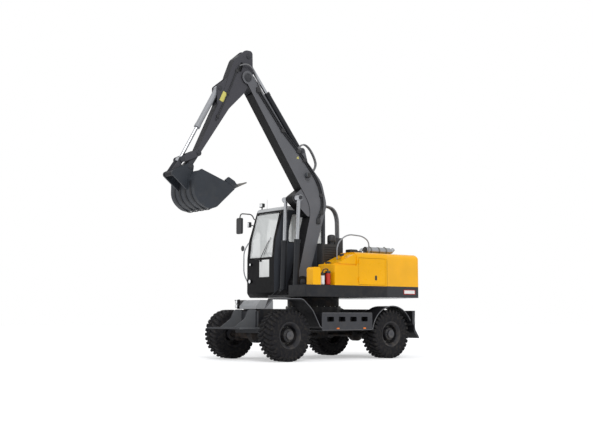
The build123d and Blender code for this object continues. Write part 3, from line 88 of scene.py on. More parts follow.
def grid_faces(rows, cols, closed):
    """Quads of a grid: (i, j), (i, j+1), (i+1, j+1), (i+1, j); if closed, the last column meets the first."""
    i, j = np.meshgrid(np.arange(rows - 1), np.arange(cols if closed else cols - 1), indexing="ij")
    right = (j + 1) % cols
    quads = np.stack([i * cols + j, i * cols + right, (i + 1) * cols + right, (i + 1) * cols + j], -1)
    return quads.reshape(-1, 4)


def joined(shells):
    """One shell from several: the points follow each other, and the faces are counted on."""
    starts = np.cumsum([0] + [len(points) for points, _ in shells[:-1]])
    points = np.concatenate([points for points, _ in shells])
    faces = [[int(k + start) for k in face] for (_, own), start in zip(shells, starts) for face in own]
    return points, faces


def piece(name, shells, finish, body="upper"):
    """Object from shells, welded and facing outwards, riding on a body unless that is None."""
    points, faces = joined(shells)
    mesh = bpy.data.meshes.new(name)
    mesh.from_pydata(points.tolist(), [], faces)
    tidy = bmesh.new()
    tidy.from_mesh(mesh)
    bmesh.ops.remove_doubles(tidy, verts=tidy.verts, dist=WELD)
    bmesh.ops.dissolve_degenerate(tidy, edges=tidy.edges, dist=WELD)
    bmesh.ops.recalc_face_normals(tidy, faces=tidy.faces)
    tidy.to_mesh(mesh)
    tidy.free()
    obj = bpy.data.objects.new(name, mesh)
    scene.collection.objects.link(obj)
    mesh.materials.append(finish)
    mesh.shade_smooth()
    mesh.set_sharp_from_angle(angle=np.radians(SHARP_DEGREES))
    if body is not None:
        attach(obj, body)
    print(name, "on", body, len(mesh.polygons), "faces")
    return obj


# %% [markdown]
# ## Basic forms
# Four forms make nearly everything here: a turned form, a tube along a path,
# a block with rounded edges, and a plate cut from an outline.
# A turned form is a profile of radius and height carried round an axis, as on a lathe.

# %% Turned forms
AXES = {"x": (1, 2, 0), "y": (2, 0, 1), "z": (0, 1, 2)}


def turned(profile, centre, axis="z", sides=32, flip=False):
    """Surface of revolution: p(i, a) = centre + r_i cos a, r_i sin a across the axis, h_i along it."""
    r, h = np.array(profile, float).T
    angle = np.linspace(0, 2 * np.pi, sides, endpoint=False)
    across = np.stack([r[:, None] * np.cos(angle), r[:, None] * np.sin(angle),
                       np.repeat(h[:, None] * (-1 if flip else 1), sides, 1)], -1)
    points = np.empty_like(across)
    points[..., list(AXES[axis])] = across
    return points.reshape(-1, 3) + np.array(centre), grid_faces(len(r), sides, True)


def disc(radius, depth, edge=0.15):
    """Profile of a closed disc with a rounded rim, for a turned form."""
    soft = edge * min(radius, depth)
    return [(0, 0), (radius - soft, 0), (radius - 0.3 * soft, 0.3 * soft), (radius, soft),
            (radius, depth - soft), (radius - 0.3 * soft, depth - 0.3 * soft),
            (radius - soft, depth), (0, depth)]


# %% [markdown]
# A tube needs a smooth path. A path of straight runs becomes one when each corner is
# replaced by a short parabola. The ring of the tube is set across the run at every point.

# %% Tubes along a path
def softened(points, radius, steps=6, closed=False):
    """Path whose corners are arcs: each corner c becomes (1-t)^2 a + 2t(1-t) c + t^2 b,
    with a and b at a distance on its two runs."""
    corner = np.array(points, float)
    before = np.roll(corner, 1, 0) - corner
    after = np.roll(corner, -1, 0) - corner
    long_a = np.linalg.norm(before, axis=1, keepdims=True)
    long_b = np.linalg.norm(after, axis=1, keepdims=True)
    a = corner + before / long_a * np.minimum(radius, 0.48 * long_a)
    b = corner + after / long_b * np.minimum(radius, 0.48 * long_b)
    t = np.linspace(0, 1, steps)[None, :, None]
    arcs = (1 - t) ** 2 * a[:, None] + 2 * t * (1 - t) * corner[:, None] + t ** 2 * b[:, None]
    if closed:
        return arcs.reshape(-1, corner.shape[1])
    middle = arcs[1:-1].reshape(-1, corner.shape[1])
    return np.concatenate([corner[:1], middle, corner[-1:]])


def tube(path, radius, sides=12, side_way=(0, 1, 0), closed=False):
    """Round tube: p(i, a) = path_i + r (cos a n_i + sin a b_i), n across the run and the side way,
    b across both."""
    line = np.array(path, float)
    run = np.roll(line, -1, 0) - np.roll(line, 1, 0) if closed else np.gradient(line, axis=0)
    run /= np.linalg.norm(run, axis=1, keepdims=True)
    n = np.cross(run, np.array(side_way, float))
    n /= np.linalg.norm(n, axis=1, keepdims=True)
    b = np.cross(run, n)
    angle = np.linspace(0, 2 * np.pi, sides, endpoint=False)
    ring = np.cos(angle)[None, :, None] * n[:, None] + np.sin(angle)[None, :, None] * b[:, None]
    points = line[:, None] + radius * ring
    if closed:
        points = np.concatenate([points, points[:1]])
    else:
        ends = np.repeat(line[[0, -1]][:, None], sides, 1)
        points = np.concatenate([ends[:1], points, ends[1:]])
    return points.reshape(-1, 3), grid_faces(len(points), sides, True)


def on_side(line, y):
    """An (x, z) line set at one y."""
    line = np.asarray(line)
    return np.stack([line[:, 0], np.full(len(line), y), line[:, 1]], -1)


# %% [markdown]
# A block is a ball cut in eight parts that are pulled apart, so its edges are round and
# catch the light as a real casting or box does. A plate is an outline with a small chamfer.

# %% Blocks with rounded edges
def block(low, high, edge=0.004, steps=3):
    """Rounded block: p(lat, lon) = corner of the octant, drawn in by the edge, plus the edge
    times the ball's point."""
    low, high = np.array(low, float), np.array(high, float)
    edge = min(edge, 0.49 * float((high - low).min()))
    quarter = np.linspace(0, np.pi / 2, steps)
    lon = (quarter + np.arange(4)[:, None] * np.pi / 2).ravel()
    octant_x = np.repeat([1, -1, -1, 1], steps)
    octant_y = np.repeat([1, 1, -1, -1], steps)
    lat = np.concatenate([quarter - np.pi / 2, quarter])
    octant_z = np.repeat([-1, 1], steps)
    half = (high - low) / 2 - edge
    x = half[0] * octant_x + edge * np.cos(lat)[:, None] * np.cos(lon)
    y = half[1] * octant_y + edge * np.cos(lat)[:, None] * np.sin(lon)
    z = np.repeat((half[2] * octant_z + edge * np.sin(lat))[:, None], len(lon), 1)
    points = np.stack([x, y, z], -1).reshape(-1, 3) + (low + high) / 2
    cols = len(lon)
    last = (len(lat) - 1) * cols
    faces = grid_faces(len(lat), cols, True).tolist()
    return points, faces + [list(range(cols)), list(range(last, last + cols))]


# %% Plates cut from an outline
PLANES = {"x": (1, 2, 0), "y": (0, 2, 1), "z": (0, 1, 2)}


def plate(outline, low, high, normal="y", edge=0.003):
    """Plate: rings of the outline at low, low+e, high-e, high, the outer two drawn in by e,
    and two flat ends."""
    corner = np.array(outline, float)
    before = corner - np.roll(corner, 1, 0)
    after = np.roll(corner, -1, 0) - corner
    out = before / np.linalg.norm(before, axis=1, keepdims=True)
    out = out + after / np.linalg.norm(after, axis=1, keepdims=True)
    out = np.stack([out[:, 1], -out[:, 0]], -1)
    out /= np.linalg.norm(out, axis=1, keepdims=True)
    x, y = corner.T
    turn = np.sign(np.sum(x * np.roll(y, -1) - y * np.roll(x, -1)))
    edge = min(edge, 0.45 * (high - low))
    rings = [(low, edge), (low + edge, 0), (high - edge, 0), (high, edge)]
    flat = np.stack([corner - turn * inset * out for _, inset in rings])
    depth = np.array([level for level, _ in rings])[:, None, None] * np.ones((1, len(corner), 1))
    local = np.concatenate([flat, depth], -1)
    points = np.empty_like(local)
    points[..., list(PLANES[normal])] = local
    count = len(corner)
    faces = grid_faces(4, count, True).tolist()
    return points.reshape(-1, 3), faces + [list(range(count)), list(range(3 * count, 4 * count))]


def box_outline(u0, u1, v0, v1, radius, steps=5):
    """Closed outline of a rectangle with arcs at its corners."""
    return softened([(u0, v0), (u1, v0), (u1, v1), (u0, v1)], radius, steps, closed=True)


# %% [markdown]
# Bolts, nuts and ribs stand in rows and rings, so a shell is made once and then shifted,
# turned or mirrored as a whole array.

# %% Placing shells
def copies(shell, offsets):
    """The shell at each offset: p + offset_k."""
    return [(shell[0] + np.array(offset, float), shell[1]) for offset in offsets]


def rotated(shell, centre, axis, angles):
    """Copies turned about an axis: c + R(a) (p - c) for each angle a in degrees."""
    first, second, _ = AXES[axis]
    result = []
    for angle in np.radians(angles):
        local = shell[0] - np.array(centre)
        points = local.copy()
        points[:, first] = np.cos(angle) * local[:, first] - np.sin(angle) * local[:, second]
        points[:, second] = np.sin(angle) * local[:, first] + np.cos(angle) * local[:, second]
        result.append((points + np.array(centre), shell[1]))
    return result


def ring_of(shells, centre, axis, angles):
    """Every one of the shells turned to each angle."""
    return [copy for shell in shells for copy in rotated(shell, centre, axis, angles)]


def flipped(shell):
    """Mirror image on the machine's other side: y becomes -y; piece() turns the faces out again."""
    return shell[0] * np.array([1, -1, 1]), shell[1]


def hex_head(centre, axis, size, height, flip=False):
    """Bolt head on a washer: a turned form with six sides on one with twenty."""
    washer = turned(disc(size * 0.72, height * 0.25), centre, axis, 20, flip)
    head = [(0, 0), (size * 0.55, 0), (size * 0.55, height * 0.85), (size * 0.47, height), (0, height)]
    return [washer, turned(head, centre, axis, 6, flip)]


print("forms ready")

# %% [markdown]
# ## Finishes
# A material is a small network of nodes that reads each point's place on its piece.
# Paint on a machine is never one flat colour: it has a faint mottle, road dust that
# gathers low down, and a surface like fine orange peel. Noise at two scales gives these.
# Colours are written as they look on a screen and turned into the linear values Blender uses.

# %% Colours and node helpers
def colour(r, g, b):
    """Linear colour from screen values 0-255: ((c + 0.055) / 1.055)^2.4, or c / 12.92 when dark."""
    c = np.array([r, g, b]) / 255
    linear = np.where(c <= 0.04045, c / 12.92, ((c + 0.055) / 1.055) ** 2.4)
    return (*map(float, linear), 1.0)


def shaded(base, share):
    """The colour at a share of its brightness."""
    return (*[c * share for c in base[:3]], 1.0)


def feed(tree, socket, value):
    """Link a value that is a socket, and set one that is a number or colour."""
    if isinstance(value, bpy.types.NodeSocket):
        tree.links.new(value, socket)
    else:
        socket.default_value = value


def math_node(tree, operation, a, b=0.0):
    """Sum, product or other mix of two values."""
    made = tree.nodes.new("ShaderNodeMath")
    made.operation = operation
    for socket, value in zip(made.inputs, (a, b)):
        feed(tree, socket, value)
    return made.outputs[0]


# %% A material under construction
class Finish:
    """A material under construction: its nodes, and short ways to join them."""

    def __init__(self, name, base, roughness, **sockets):
        """Sockets are the shader's other inputs, with _ for a space in their names."""
        self.material = bpy.data.materials.new(name)
        self.material.use_nodes = True
        self.tree = self.material.node_tree
        self.shader = self.tree.nodes["Principled BSDF"]
        for key, value in {"Base_Color": base, "Roughness": roughness, **sockets}.items():
            self.shader.inputs[key.replace("_", " ")].default_value = value
        self.coordinates = self.tree.nodes.new("ShaderNodeTexCoord").outputs
        self.place = self.coordinates["Object"]

    def node(self, kind, **inputs):
        """A node with its inputs set or linked."""
        made = self.tree.nodes.new("ShaderNode" + kind)
        for key, value in inputs.items():
            feed(self.tree, made.inputs[key.replace("_", " ")], value)
        return made

    def noise(self, scale, detail=3.0, where=None):
        """Noise between 0 and 1 over the piece."""
        return self.node("TexNoise", Vector=where or self.place, Scale=scale, Detail=detail).outputs["Fac"]

    def mapped(self, **inputs):
        """The place stretched or turned."""
        return self.node("Mapping", Vector=self.place, **inputs).outputs["Vector"]

    def ramp(self, value, low, high, start=0.0, end=1.0):
        """Value mapped from low..high to start..end, and held there."""
        made = self.node("MapRange", Value=value, From_Min=low, From_Max=high, To_Min=start, To_Max=end)
        return made.outputs["Result"]

    def axis(self, letter, of=None):
        """One coordinate of the place, or of another vector."""
        return self.node("SeparateXYZ", Vector=of or self.place).outputs[letter]

    def math(self, operation, a, b=0.0):
        """Sum, product or other mix of two values."""
        return math_node(self.tree, operation, a, b)

    def times(self, first, *others):
        """Product of several values."""
        for other in others:
            first = self.math("MULTIPLY", first, other)
        return first

    def near(self, value, middle, half):
        """1 where the value is less than half away from the middle."""
        return self.math("LESS_THAN", self.math("ABSOLUTE", self.math("SUBTRACT", value, middle)), half)

    def blend(self, factor, a, b):
        """Colour between a and b."""
        made = self.tree.nodes.new("ShaderNodeMix")
        made.data_type = "RGBA"
        for key, value in ((0, factor), (6, a), (7, b)):
            feed(self.tree, made.inputs[key], value)
        return made.outputs[2]

    def painted(self):
        """What colours the surface so far."""
        return self.shader.inputs["Base Color"].links[0].from_socket

    def paint(self, value, socket="Base Color"):
        """Link a value to the shader."""
        self.tree.links.new(value, self.shader.inputs[socket])

    def bump(self, height, strength, distance=0.001):
        """Relief from a height."""
        made = self.node("Bump", Height=height, Strength=strength, Distance=distance)
        self.paint(made.outputs["Normal"], "Normal")


print("node helpers ready")

# %% [markdown]
# ## Paint
# Machine paint is sprayed on steel and baked: satin, with a soft clear shine.
# Dust settles on the lower parts, so each paint is told between which heights it fades in.

# %% Paints
DUST = colour(150, 138, 120)


def sprayed(name, base, roughness, shade, dust, dust_low=0.3, dust_high=1.6, coat=0.0, gloss=0.2):
    """Satin paint: a mottle of two shades, dust fading out with height, orange peel relief."""
    finish = Finish(name, base, roughness, Specular_IOR_Level=gloss, Coat_Weight=coat, Coat_Roughness=0.22)
    mottle = finish.ramp(finish.noise(2.3, 5.0), 0.35, 0.65)
    body_colour = finish.blend(mottle, shaded(base, shade), base)
    patches = finish.ramp(finish.noise(9.0, 6.0), 0.42, 0.72)
    height = finish.ramp(finish.axis("Z"), dust_low, dust_high, 1.0, 0.12)
    finish.paint(finish.blend(finish.times(patches, height, dust), body_colour, DUST))
    uneven = finish.ramp(finish.noise(14.0, 4.0), 0.3, 0.7, roughness - 0.05, roughness + 0.1)
    finish.paint(uneven, "Roughness")
    finish.bump(finish.noise(420.0, 2.0), 0.12, 0.0006)
    return finish


YELLOW = colour(246, 178, 4)
DARK = colour(32, 33, 37)

yellow_paint = sprayed("yellow paint", YELLOW, 0.3, 0.9, 0.05, coat=0.04).material
light_paint = sprayed("light paint", colour(150, 152, 155), 0.4, 0.9, 0.2).material
barrel_paint = sprayed("barrel paint", colour(150, 152, 156), 0.35, 0.9, 0.06).material
dark_barrel_paint = sprayed("dark barrel paint", colour(36, 38, 42), 0.35, 0.88, 0.05).material
dark_paint = sprayed("dark paint", DARK, 0.42, 0.85, 0.15).material
rim_paint = sprayed("rim paint", colour(42, 42, 46), 0.42, 0.85, 0.15, 0.1, 1.1).material
hub_paint = sprayed("hub paint", colour(74, 75, 79), 0.4, 0.85, 0.3, 0.1, 1.1).material
# Lighter than the guards: the beads' grey is a painted highlight along the edges.
bead_highlight_paint = sprayed("bead paint", colour(92, 93, 97), 0.4, 0.9, 0.2).material
pin_paint = sprayed("pin paint", colour(60, 61, 65), 0.4, 0.9, 0.1).material
pipe_paint = sprayed("pipe paint", colour(40, 41, 44), 0.36, 0.9, 0.05).material
wear_paint = sprayed("wear strip paint", colour(36, 38, 42), 0.45, 0.82, 0.06).material
rail_paint = sprayed("rail paint", colour(140, 142, 146), 0.35, 0.9, 0.05).material
print("paints ready")

# %% [markdown]
# ### Yellow over a dark foot
# The counterweight is one casting in two colours, parted by a straight edge at the deck's height.

# %% Counterweight paint
YELLOW_FROM = 1.54


def banded_yellow():
    """Counterweight: dark cast foot below the yellow, parted by a straight edge."""
    finish = sprayed("counterweight paint", YELLOW, 0.34, 0.9, 0.10, coat=0.4)
    foot = finish.ramp(finish.axis("Z"), YELLOW_FROM, YELLOW_FROM + 0.003)
    finish.paint(finish.blend(foot, DARK, finish.painted()))
    return finish.material


counterweight_paint = banded_yellow()

# %% [markdown]
# ### Paint with painted shade
# The boom's sides are mid grey, and its belly and back are in shade, so they get painted shade, near black;
# the real paint is one grey all round. The side faces are known by the direction of the surface,
# so the painted shade follows the steel itself and not the light.
# Steps, shelf, arm and cab have the same: pale beside, with painted shade on top and in front.

# %% Paint with painted shade
def shade_painted_by_facing(name, side, edge, gloss=0.12):
    """Paint whose faces across the machine have one colour, and whose other faces get a darker one, which is
    painted shade.
    """
    finish = sprayed(name, side, 0.42, 0.9, 0.05, gloss=gloss)
    # Faces not across the machine, such as belly, back, tops and fronts, get the second colour: painted
    # shade.
    across = finish.axis("Y", finish.coordinates["Normal"])
    beside = finish.ramp(finish.math("ABSOLUTE", across), 0.45, 0.75)
    finish.paint(finish.blend(beside, edge, finish.painted()))
    return finish


# Boom, arm, steps and shelf: the second, darker colour of each is painted shade.
boom_paint = shade_painted_by_facing("boom paint", colour(102, 103, 107), colour(14, 14, 16)).material
arm_paint = shade_painted_by_facing("arm paint", colour(73, 73, 78), colour(34, 34, 38)).material
step_paint = shade_painted_by_facing("step paint", colour(66, 67, 71), colour(30, 30, 33)).material
shelf_paint = shade_painted_by_facing("shelf paint", colour(92, 94, 97), colour(58, 59, 62)).material
print("paint in two shades ready")

# %% [markdown]
# ### Cab paint
# The cab is dark below and round its windows, with a pale roof that keeps the sun off,
# and its inside is lined in light grey. Below the roof, its front and other faces not across the machine
# carry painted shade, near black.
# One material does all of this: the roof starts at a height, and the lining lies within the walls, behind a
# line that follows the sloping front.

# %% Cab paint
ROOF_FROM = 3.205
LINING = colour(206, 207, 205)
CAB_MIDDLE = -0.685
LINED_HALF_WIDTH = 0.4505
LINED_FROM_X = -0.4505
LINED_MIDDLE_Z = 2.295
LINED_HALF_HEIGHT = 0.9455
# x of the lining's front at three heights, joined by straight lines
FRONT_Z = (2.15, 2.56, 3.29)
FRONT_X = (0.900, 0.855, 0.620)


def cab_finish():
    """Dark paint below the roof's edge with painted shade on its front, pale paint above it, light lining
    within the walls.
    """
    # The near-black second colour is painted shade on the cab's front, back and top faces.
    finish = shade_painted_by_facing("cab paint", colour(66, 69, 75), colour(10, 10, 13), 0.1)
    x, y, z = (finish.axis(letter) for letter in "XYZ")
    roof = finish.ramp(z, ROOF_FROM, ROOF_FROM + 0.004)
    outside = finish.blend(roof, finish.painted(), colour(188, 190, 192))
    lines = [finish.ramp(z, FRONT_Z[k], FRONT_Z[k + 1], FRONT_X[k], FRONT_X[k + 1]) for k in (0, 1)]
    inside = finish.times(finish.math("LESS_THAN", x, finish.math("MINIMUM", *lines)),
                          finish.near(y, CAB_MIDDLE, LINED_HALF_WIDTH),
                          finish.near(z, LINED_MIDDLE_Z, LINED_HALF_HEIGHT),
                          finish.math("GREATER_THAN", x, LINED_FROM_X))
    finish.paint(finish.blend(inside, outside, LINING))
    return finish.material


cab_paint = cab_finish()
print("cab paint ready")

# %% [markdown]
# ### Bucket steel
# A bucket is painted once and then scrubbed by the ground: bare steel shows low down and
# towards the teeth, in streaks along the way the soil moves.

# %% Bucket finish
def bucket_finish():
    """Dark paint worn to steel in patches, with scratches stretched along X."""
    finish = sprayed("bucket paint", colour(54, 58, 64), 0.42, 0.82, 0.06, 2.8, 3.6)
    streak = finish.noise(4.0, 8.0, finish.mapped(Scale=(3.0, 30.0, 14.0)))
    low = finish.ramp(finish.axis("X"), 2.95, 2.35, 0.0, 0.75)
    bare = finish.ramp(finish.times(streak, low), 0.26, 0.34)
    finish.paint(finish.blend(bare, finish.painted(), colour(120, 118, 114)))
    finish.bump(finish.math("ADD", streak, finish.noise(60.0, 4.0)), 0.35, 0.002)
    return finish.material


bucket_paint = bucket_finish()
print("bucket paint ready")

# %% [markdown]
# ## Metals, rubber, plastic, glass
# Cast iron is rough with a fine crust. Chrome is a mirror with a breath of oil.
# Tyre rubber is near black, dusty in the grooves. Moulded plastic has a fine even grain.

# %% Metals
def cast_finish(name, base):
    """Rough cast surface: two scales of crust, rust only as a tint."""
    finish = Finish(name, base, 0.62, Specular_IOR_Level=0.2)
    crust = finish.noise(55.0, 8.0)
    tint = finish.ramp(finish.noise(6.0, 5.0), 0.45, 0.75, 0.0, 0.35)
    finish.paint(finish.blend(tint, base, colour(96, 78, 62)))
    finish.paint(finish.ramp(crust, 0.3, 0.7, 0.5, 0.78), "Roughness")
    finish.bump(crust, 0.45, 0.0015)
    return finish.material


def polished(name, base, roughness, stretch):
    """Bright metal: fine lines turned round the rod, and a thin uneven film of oil."""
    finish = Finish(name, base, roughness, Metallic=1.0)
    grain = finish.noise(30.0, 3.0, finish.mapped(Scale=stretch))
    finish.paint(finish.ramp(grain, 0.3, 0.7, roughness, roughness + 0.14), "Roughness")
    finish.bump(grain, 0.05, 0.0004)
    return finish.material


cast_iron = cast_finish("cast iron", colour(30, 30, 32))
engine_iron = cast_finish("engine iron", colour(82, 84, 86))
chrome = polished("chrome", colour(168, 170, 174), 0.12, (1.0, 1.0, 1.0))
bright_steel = polished("bright steel", colour(160, 162, 165), 0.3, (1.0, 14.0, 14.0))
worn_steel = polished("worn steel", colour(84, 84, 84), 0.42, (6.0, 1.0, 6.0))
mirror_silver = polished("mirror silver", colour(200, 204, 208), 0.05, (1.0, 1.0, 1.0))
zinc = polished("zinc plated", colour(120, 120, 114), 0.34, (4.0, 4.0, 4.0))
print("metals ready")


# %% Rubber and plastic
def rubber_finish(name, base, dust, grain):
    """Matt rubber: fine grain, and dust held in the low spots."""
    finish = Finish(name, base, 0.78, Specular_IOR_Level=0.14)
    speck = finish.ramp(finish.noise(18.0, 7.0), 0.46, 0.74, 0.0, dust)
    finish.paint(finish.blend(speck, base, DUST))
    finish.bump(finish.noise(grain, 4.0), 0.3, 0.001)
    return finish.material


def moulded(name, base, roughness=0.55):
    """Moulded plastic: an even grain and a slight change of shade."""
    finish = Finish(name, base, roughness)
    mottle = finish.ramp(finish.noise(3.0, 3.0), 0.3, 0.7)
    finish.paint(finish.blend(mottle, shaded(base, 0.8), base))
    finish.bump(finish.noise(600.0, 2.0), 0.25, 0.0005)
    return finish.material


tyre_rubber = rubber_finish("tyre rubber", colour(27, 27, 30), 0.07, 120.0)
# The hoses' light grey is lighter than the rubber itself: a painted highlight for the sheen along them. The
# specks are dust.
hose_rubber = rubber_finish("hose rubber", colour(118, 119, 122), 0.2, 300.0)
seal_rubber = rubber_finish("seal rubber", colour(24, 24, 26), 0.05, 300.0)
black_plastic = moulded("black plastic", colour(34, 34, 36))
grey_plastic = moulded("grey plastic", colour(84, 86, 88))
orange_plastic = moulded("orange plastic", colour(250, 128, 20), 0.3)
red_plastic = moulded("red plastic", colour(190, 40, 22), 0.4)
blank_white = moulded("white sheet", colour(238, 239, 238), 0.45)
label_yellow = moulded("label yellow", colour(212, 204, 110), 0.45)
print("rubber and plastic ready")

# %% [markdown]
# ### Glass, lenses and cloth
# Cab glass is pale and clear: a pane is too thin to bend the light, so it is made by a low
# alpha on the ordinary shader, whose gloss stays, and its near-white colour is painted light, a haze for the
# brightness seen through it.
# A lamp's lens is ribbed plastic that looks lit by the reflector behind it, with painted highlights on its
# ribs. Seat cloth is woven, so two waves cross in its relief.

# %% Glass, lenses and cloth
def pane_finish(name, tint, alpha):
    """Thin pane: pale see-through, the near-white colour being painted light, with a faint smear in its
    gloss.
    """
    finish = Finish(name, tint, 0.04, Alpha=alpha, IOR=1.5)
    finish.paint(finish.ramp(finish.noise(5.0, 4.0), 0.4, 0.8, 0.03, 0.12), "Roughness")
    return finish.material


def lens_finish(name, base, glow):
    """Lamp lens: coloured plastic with ribs, bright as if by the reflector behind, with painted highlights
    along the ribs.
    """
    finish = Finish(name, base, 0.12, Coat_Weight=0.8, Emission_Color=base, Emission_Strength=glow)
    ribs = finish.node("TexWave", Vector=finish.place, Scale=60.0).outputs["Fac"]
    # Lighter stripes along the ribs are painted highlights.
    finish.paint(finish.blend(finish.ramp(ribs, 0.0, 1.0, 0.0, 0.25), base, (1, 1, 1, 1)))
    finish.bump(ribs, 0.3, 0.001)
    return finish.material


def woven_finish(name, base, thread):
    """Cloth: two crossed waves give the weave, a broad mottle the wear."""
    finish = Finish(name, base, 0.85, Sheen_Weight=0.25)
    across = finish.mapped(Rotation=(0.0, np.radians(90), np.radians(90)))
    warp, weft = (finish.node("TexWave", Vector=way, Scale=thread).outputs["Fac"]
                  for way in (finish.place, across))
    wear = finish.ramp(finish.noise(5.0, 4.0), 0.35, 0.7)
    finish.paint(finish.blend(wear, shaded(base, 0.75), base))
    finish.bump(finish.times(warp, weft), 0.4, 0.0008)
    return finish.material


# The near-white colour at alpha 0.4 is painted light: a white haze over everything seen through the panes.
cab_glass = pane_finish("cab glass", colour(246, 249, 249), 0.4)
clear_lens = lens_finish("clear lens", colour(226, 228, 230), 0.12)
smoked_lens = lens_finish("smoked lens", colour(74, 78, 82), 0.0)
amber_lens = lens_finish("amber lens", colour(240, 120, 10), 0.08)
red_lens = lens_finish("red lens", colour(200, 24, 16), 0.06)
fabric = woven_finish("seat cloth", colour(52, 54, 58), 130.0)
welt_fabric = woven_finish("seat piping", colour(84, 86, 90), 160.0)
print("glass, lenses and cloth ready")

# %% [markdown]
# ## Finishes for the steel parts
# Each CAD node gets the finish of the real piece. The table has one line per finish.

# %% Dress the nodes
NODE_FINISHES = (
    (counterweight_paint, ("counterweight",)),
    (yellow_paint, ("hood", "hood_lid", "service_door_left", "service_door_right", "fuel_tank", "toolbox")),
    (dark_paint, ("chassis_frame", "deck_frame")),
    (cab_paint, ("cab_shell", "cab_door")),
    (step_paint, ("side_steps_left", "side_steps_right", "blade")),
    (light_paint, ("front_box",)),
    (shelf_paint, ("front_shelf",)),
    (rim_paint, ("rim_front_left", "rim_front_right", "rim_rear_left", "rim_rear_right")),
    (tyre_rubber, ("tyre_front_left", "tyre_front_right", "tyre_rear_left", "tyre_rear_right")),
    (boom_paint, ("boom",)),
    (arm_paint, ("arm", "rocker", "bucket_link")),
    (bucket_paint, ("bucket",)),
    (barrel_paint, ("bucket_cylinder_barrel", "blade_cylinder_barrel")),
    (dark_barrel_paint, ("boom_cylinder_barrel", "arm_cylinder_barrel")),
    (chrome, ("boom_cylinder_rod", "arm_cylinder_rod", "bucket_cylinder_rod", "blade_cylinder_rod")),
    (cast_iron, ("front_axle", "rear_axle", "drive_line", "knuckle_left", "knuckle_right", "tie_rod",
                 "slew_ring")),
    (engine_iron, ("engine",)),
    (bright_steel, ("muffler",)),
    (rail_paint, ("handrails",)),
    (black_plastic, ("cooler", "mirror", "controls")),
    (cab_glass, ("cab_glass", "door_glass")),
    (hose_rubber, ("hoses",)),
    (grey_plastic, ("operator_seat",)),
)
for finish, nodes in NODE_FINISHES:
    for node in nodes:
        for slot_here in bpy.data.objects[node].material_slots:
            slot_here.material = finish
dressed = {node for _, nodes in NODE_FINISHES for node in nodes}
print("nodes without a finish:", sorted(set(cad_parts) - dressed))

# %% [markdown]
# ## Hoses from the deck to the boom
# Three hydraulic hoses rise from the valve block, arch over and go into the boom's back.
# They are steel-braided rubber, 40 mm across and stiff, so they stand in one arc.
# Each follows a NURBS curve, and a tube is carried along it. Straight runs with rounded
# corners would look like pipe, while this curve bends evenly, as a stiff hose does.
# They cross the boom's hinge.

# %% Hose curve
def nurbs_path(points, resolution=24):
    """Points along a smooth NURBS curve of order 3 held to its two ends."""
    curve = bpy.data.curves.new("route", "CURVE")
    curve.dimensions = "3D"
    curve.resolution_u = resolution
    spline = curve.splines.new("NURBS")
    spline.points.add(len(points) - 1)
    flat = np.concatenate([np.array(points), np.ones((len(points), 1))], 1)
    spline.points.foreach_set("co", flat.ravel())
    spline.order_u = 3
    spline.use_endpoint_u = True
    holder = bpy.data.objects.new("route", curve)
    mesh = bpy.data.meshes.new_from_object(holder)
    line = np.empty(len(mesh.vertices) * 3)
    mesh.vertices.foreach_get("co", line)
    bpy.data.objects.remove(holder)
    bpy.data.curves.remove(curve)
    bpy.data.meshes.remove(mesh)
    return line.reshape(-1, 3)


def cord_piece(name, route, y, diameter, body, ends=None, sides=14, side_way=(0.3, 1, 0.2)):
    """Hose along a NURBS curve at one y, on a body unless that is None; when ends are given, its place is
    baked into its mesh."""
    line = nurbs_path([(x, y, z) for x, z in route])
    hose = piece(name, [tube(line, diameter / 2, sides, side_way)], hose_rubber, body)
    if ends:
        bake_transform(hose)
    return hose


# %% Main hoses
BOOM_MIDDLE = 0.26
HOSE_D = 0.04
HOSE_PITCH = 0.045
MAIN_ROUTE = ((-0.473, 2.6003), (-0.473, 2.83), (-0.465, 3.04), (-0.39, 3.21), (-0.24, 3.29), (-0.0525, 3.29))
for i in range(3):
    hose = cord_piece("main_hose_" + str(i + 1), MAIN_ROUTE, BOOM_MIDDLE + HOSE_PITCH * (i - 1), HOSE_D, None,
                      ends=("upper", "boom"), sides=16, side_way=(0, 1, 0))
    if i == 0:
        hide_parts("hoses")

# %% [markdown]
# ## Tyres
# The tread is a relief on one closed surface. Round the wheel and across it runs a grid;
# each point lies between the carcass and the outside of the lugs, by a mask that is 1 on a
# lug and 0 in a groove. Two rows of slanted lugs, half a pitch apart, meet in the middle.
# Single lugs set on a smooth tyre would leave a seam round each; one surface has none.

# %% Tyre surface
TYRE_R = 0.52
LUGS = 32
RAKE = 4.2
LUG_SHARE = 0.6
LUG_SOFT = 0.09
# (y, radius) from the bead of the rim to the middle of the tread: first both lines share the side
# wall, then they part at the shoulder
SIDE_WALL = ((-0.165, 0.255), (-0.184, 0.262), (-0.196, 0.285), (-0.2035, 0.33), (-0.2045, 0.345),
             (-0.2035, 0.36), (-0.2035, 0.41))
CARCASS = SIDE_WALL + (
    (-0.203, 0.425), (-0.2025, 0.43), (-0.200, 0.45), (-0.190, 0.468), (-0.165, 0.484),
    (-0.13, 0.488), (-0.08, 0.489), (-0.04, 0.490), (-0.012, 0.490), (-0.004, 0.490))
LUG_TOP = SIDE_WALL + (
    (-0.206, 0.425), (-0.2148, 0.432), (-0.2149, 0.486), (-0.205, 0.504), (-0.185, 0.5185),
    (-0.13, 0.5195), (-0.08, 0.5199), (-0.04, 0.5199), (-0.012, 0.5199), (-0.004, 0.490))
WHEEL_Y = 0.97
FRONT_AXLE_X = 1.52
REAR_AXLE_X = -1.22
WHEELS = (
    # name, x, side, turn of the tread in degrees
    ("front_left", FRONT_AXLE_X, 1, 3),
    ("front_right", FRONT_AXLE_X, -1, 8),
    ("rear_left", REAR_AXLE_X, 1, 5),
    ("rear_right", REAR_AXLE_X, -1, 1),
)


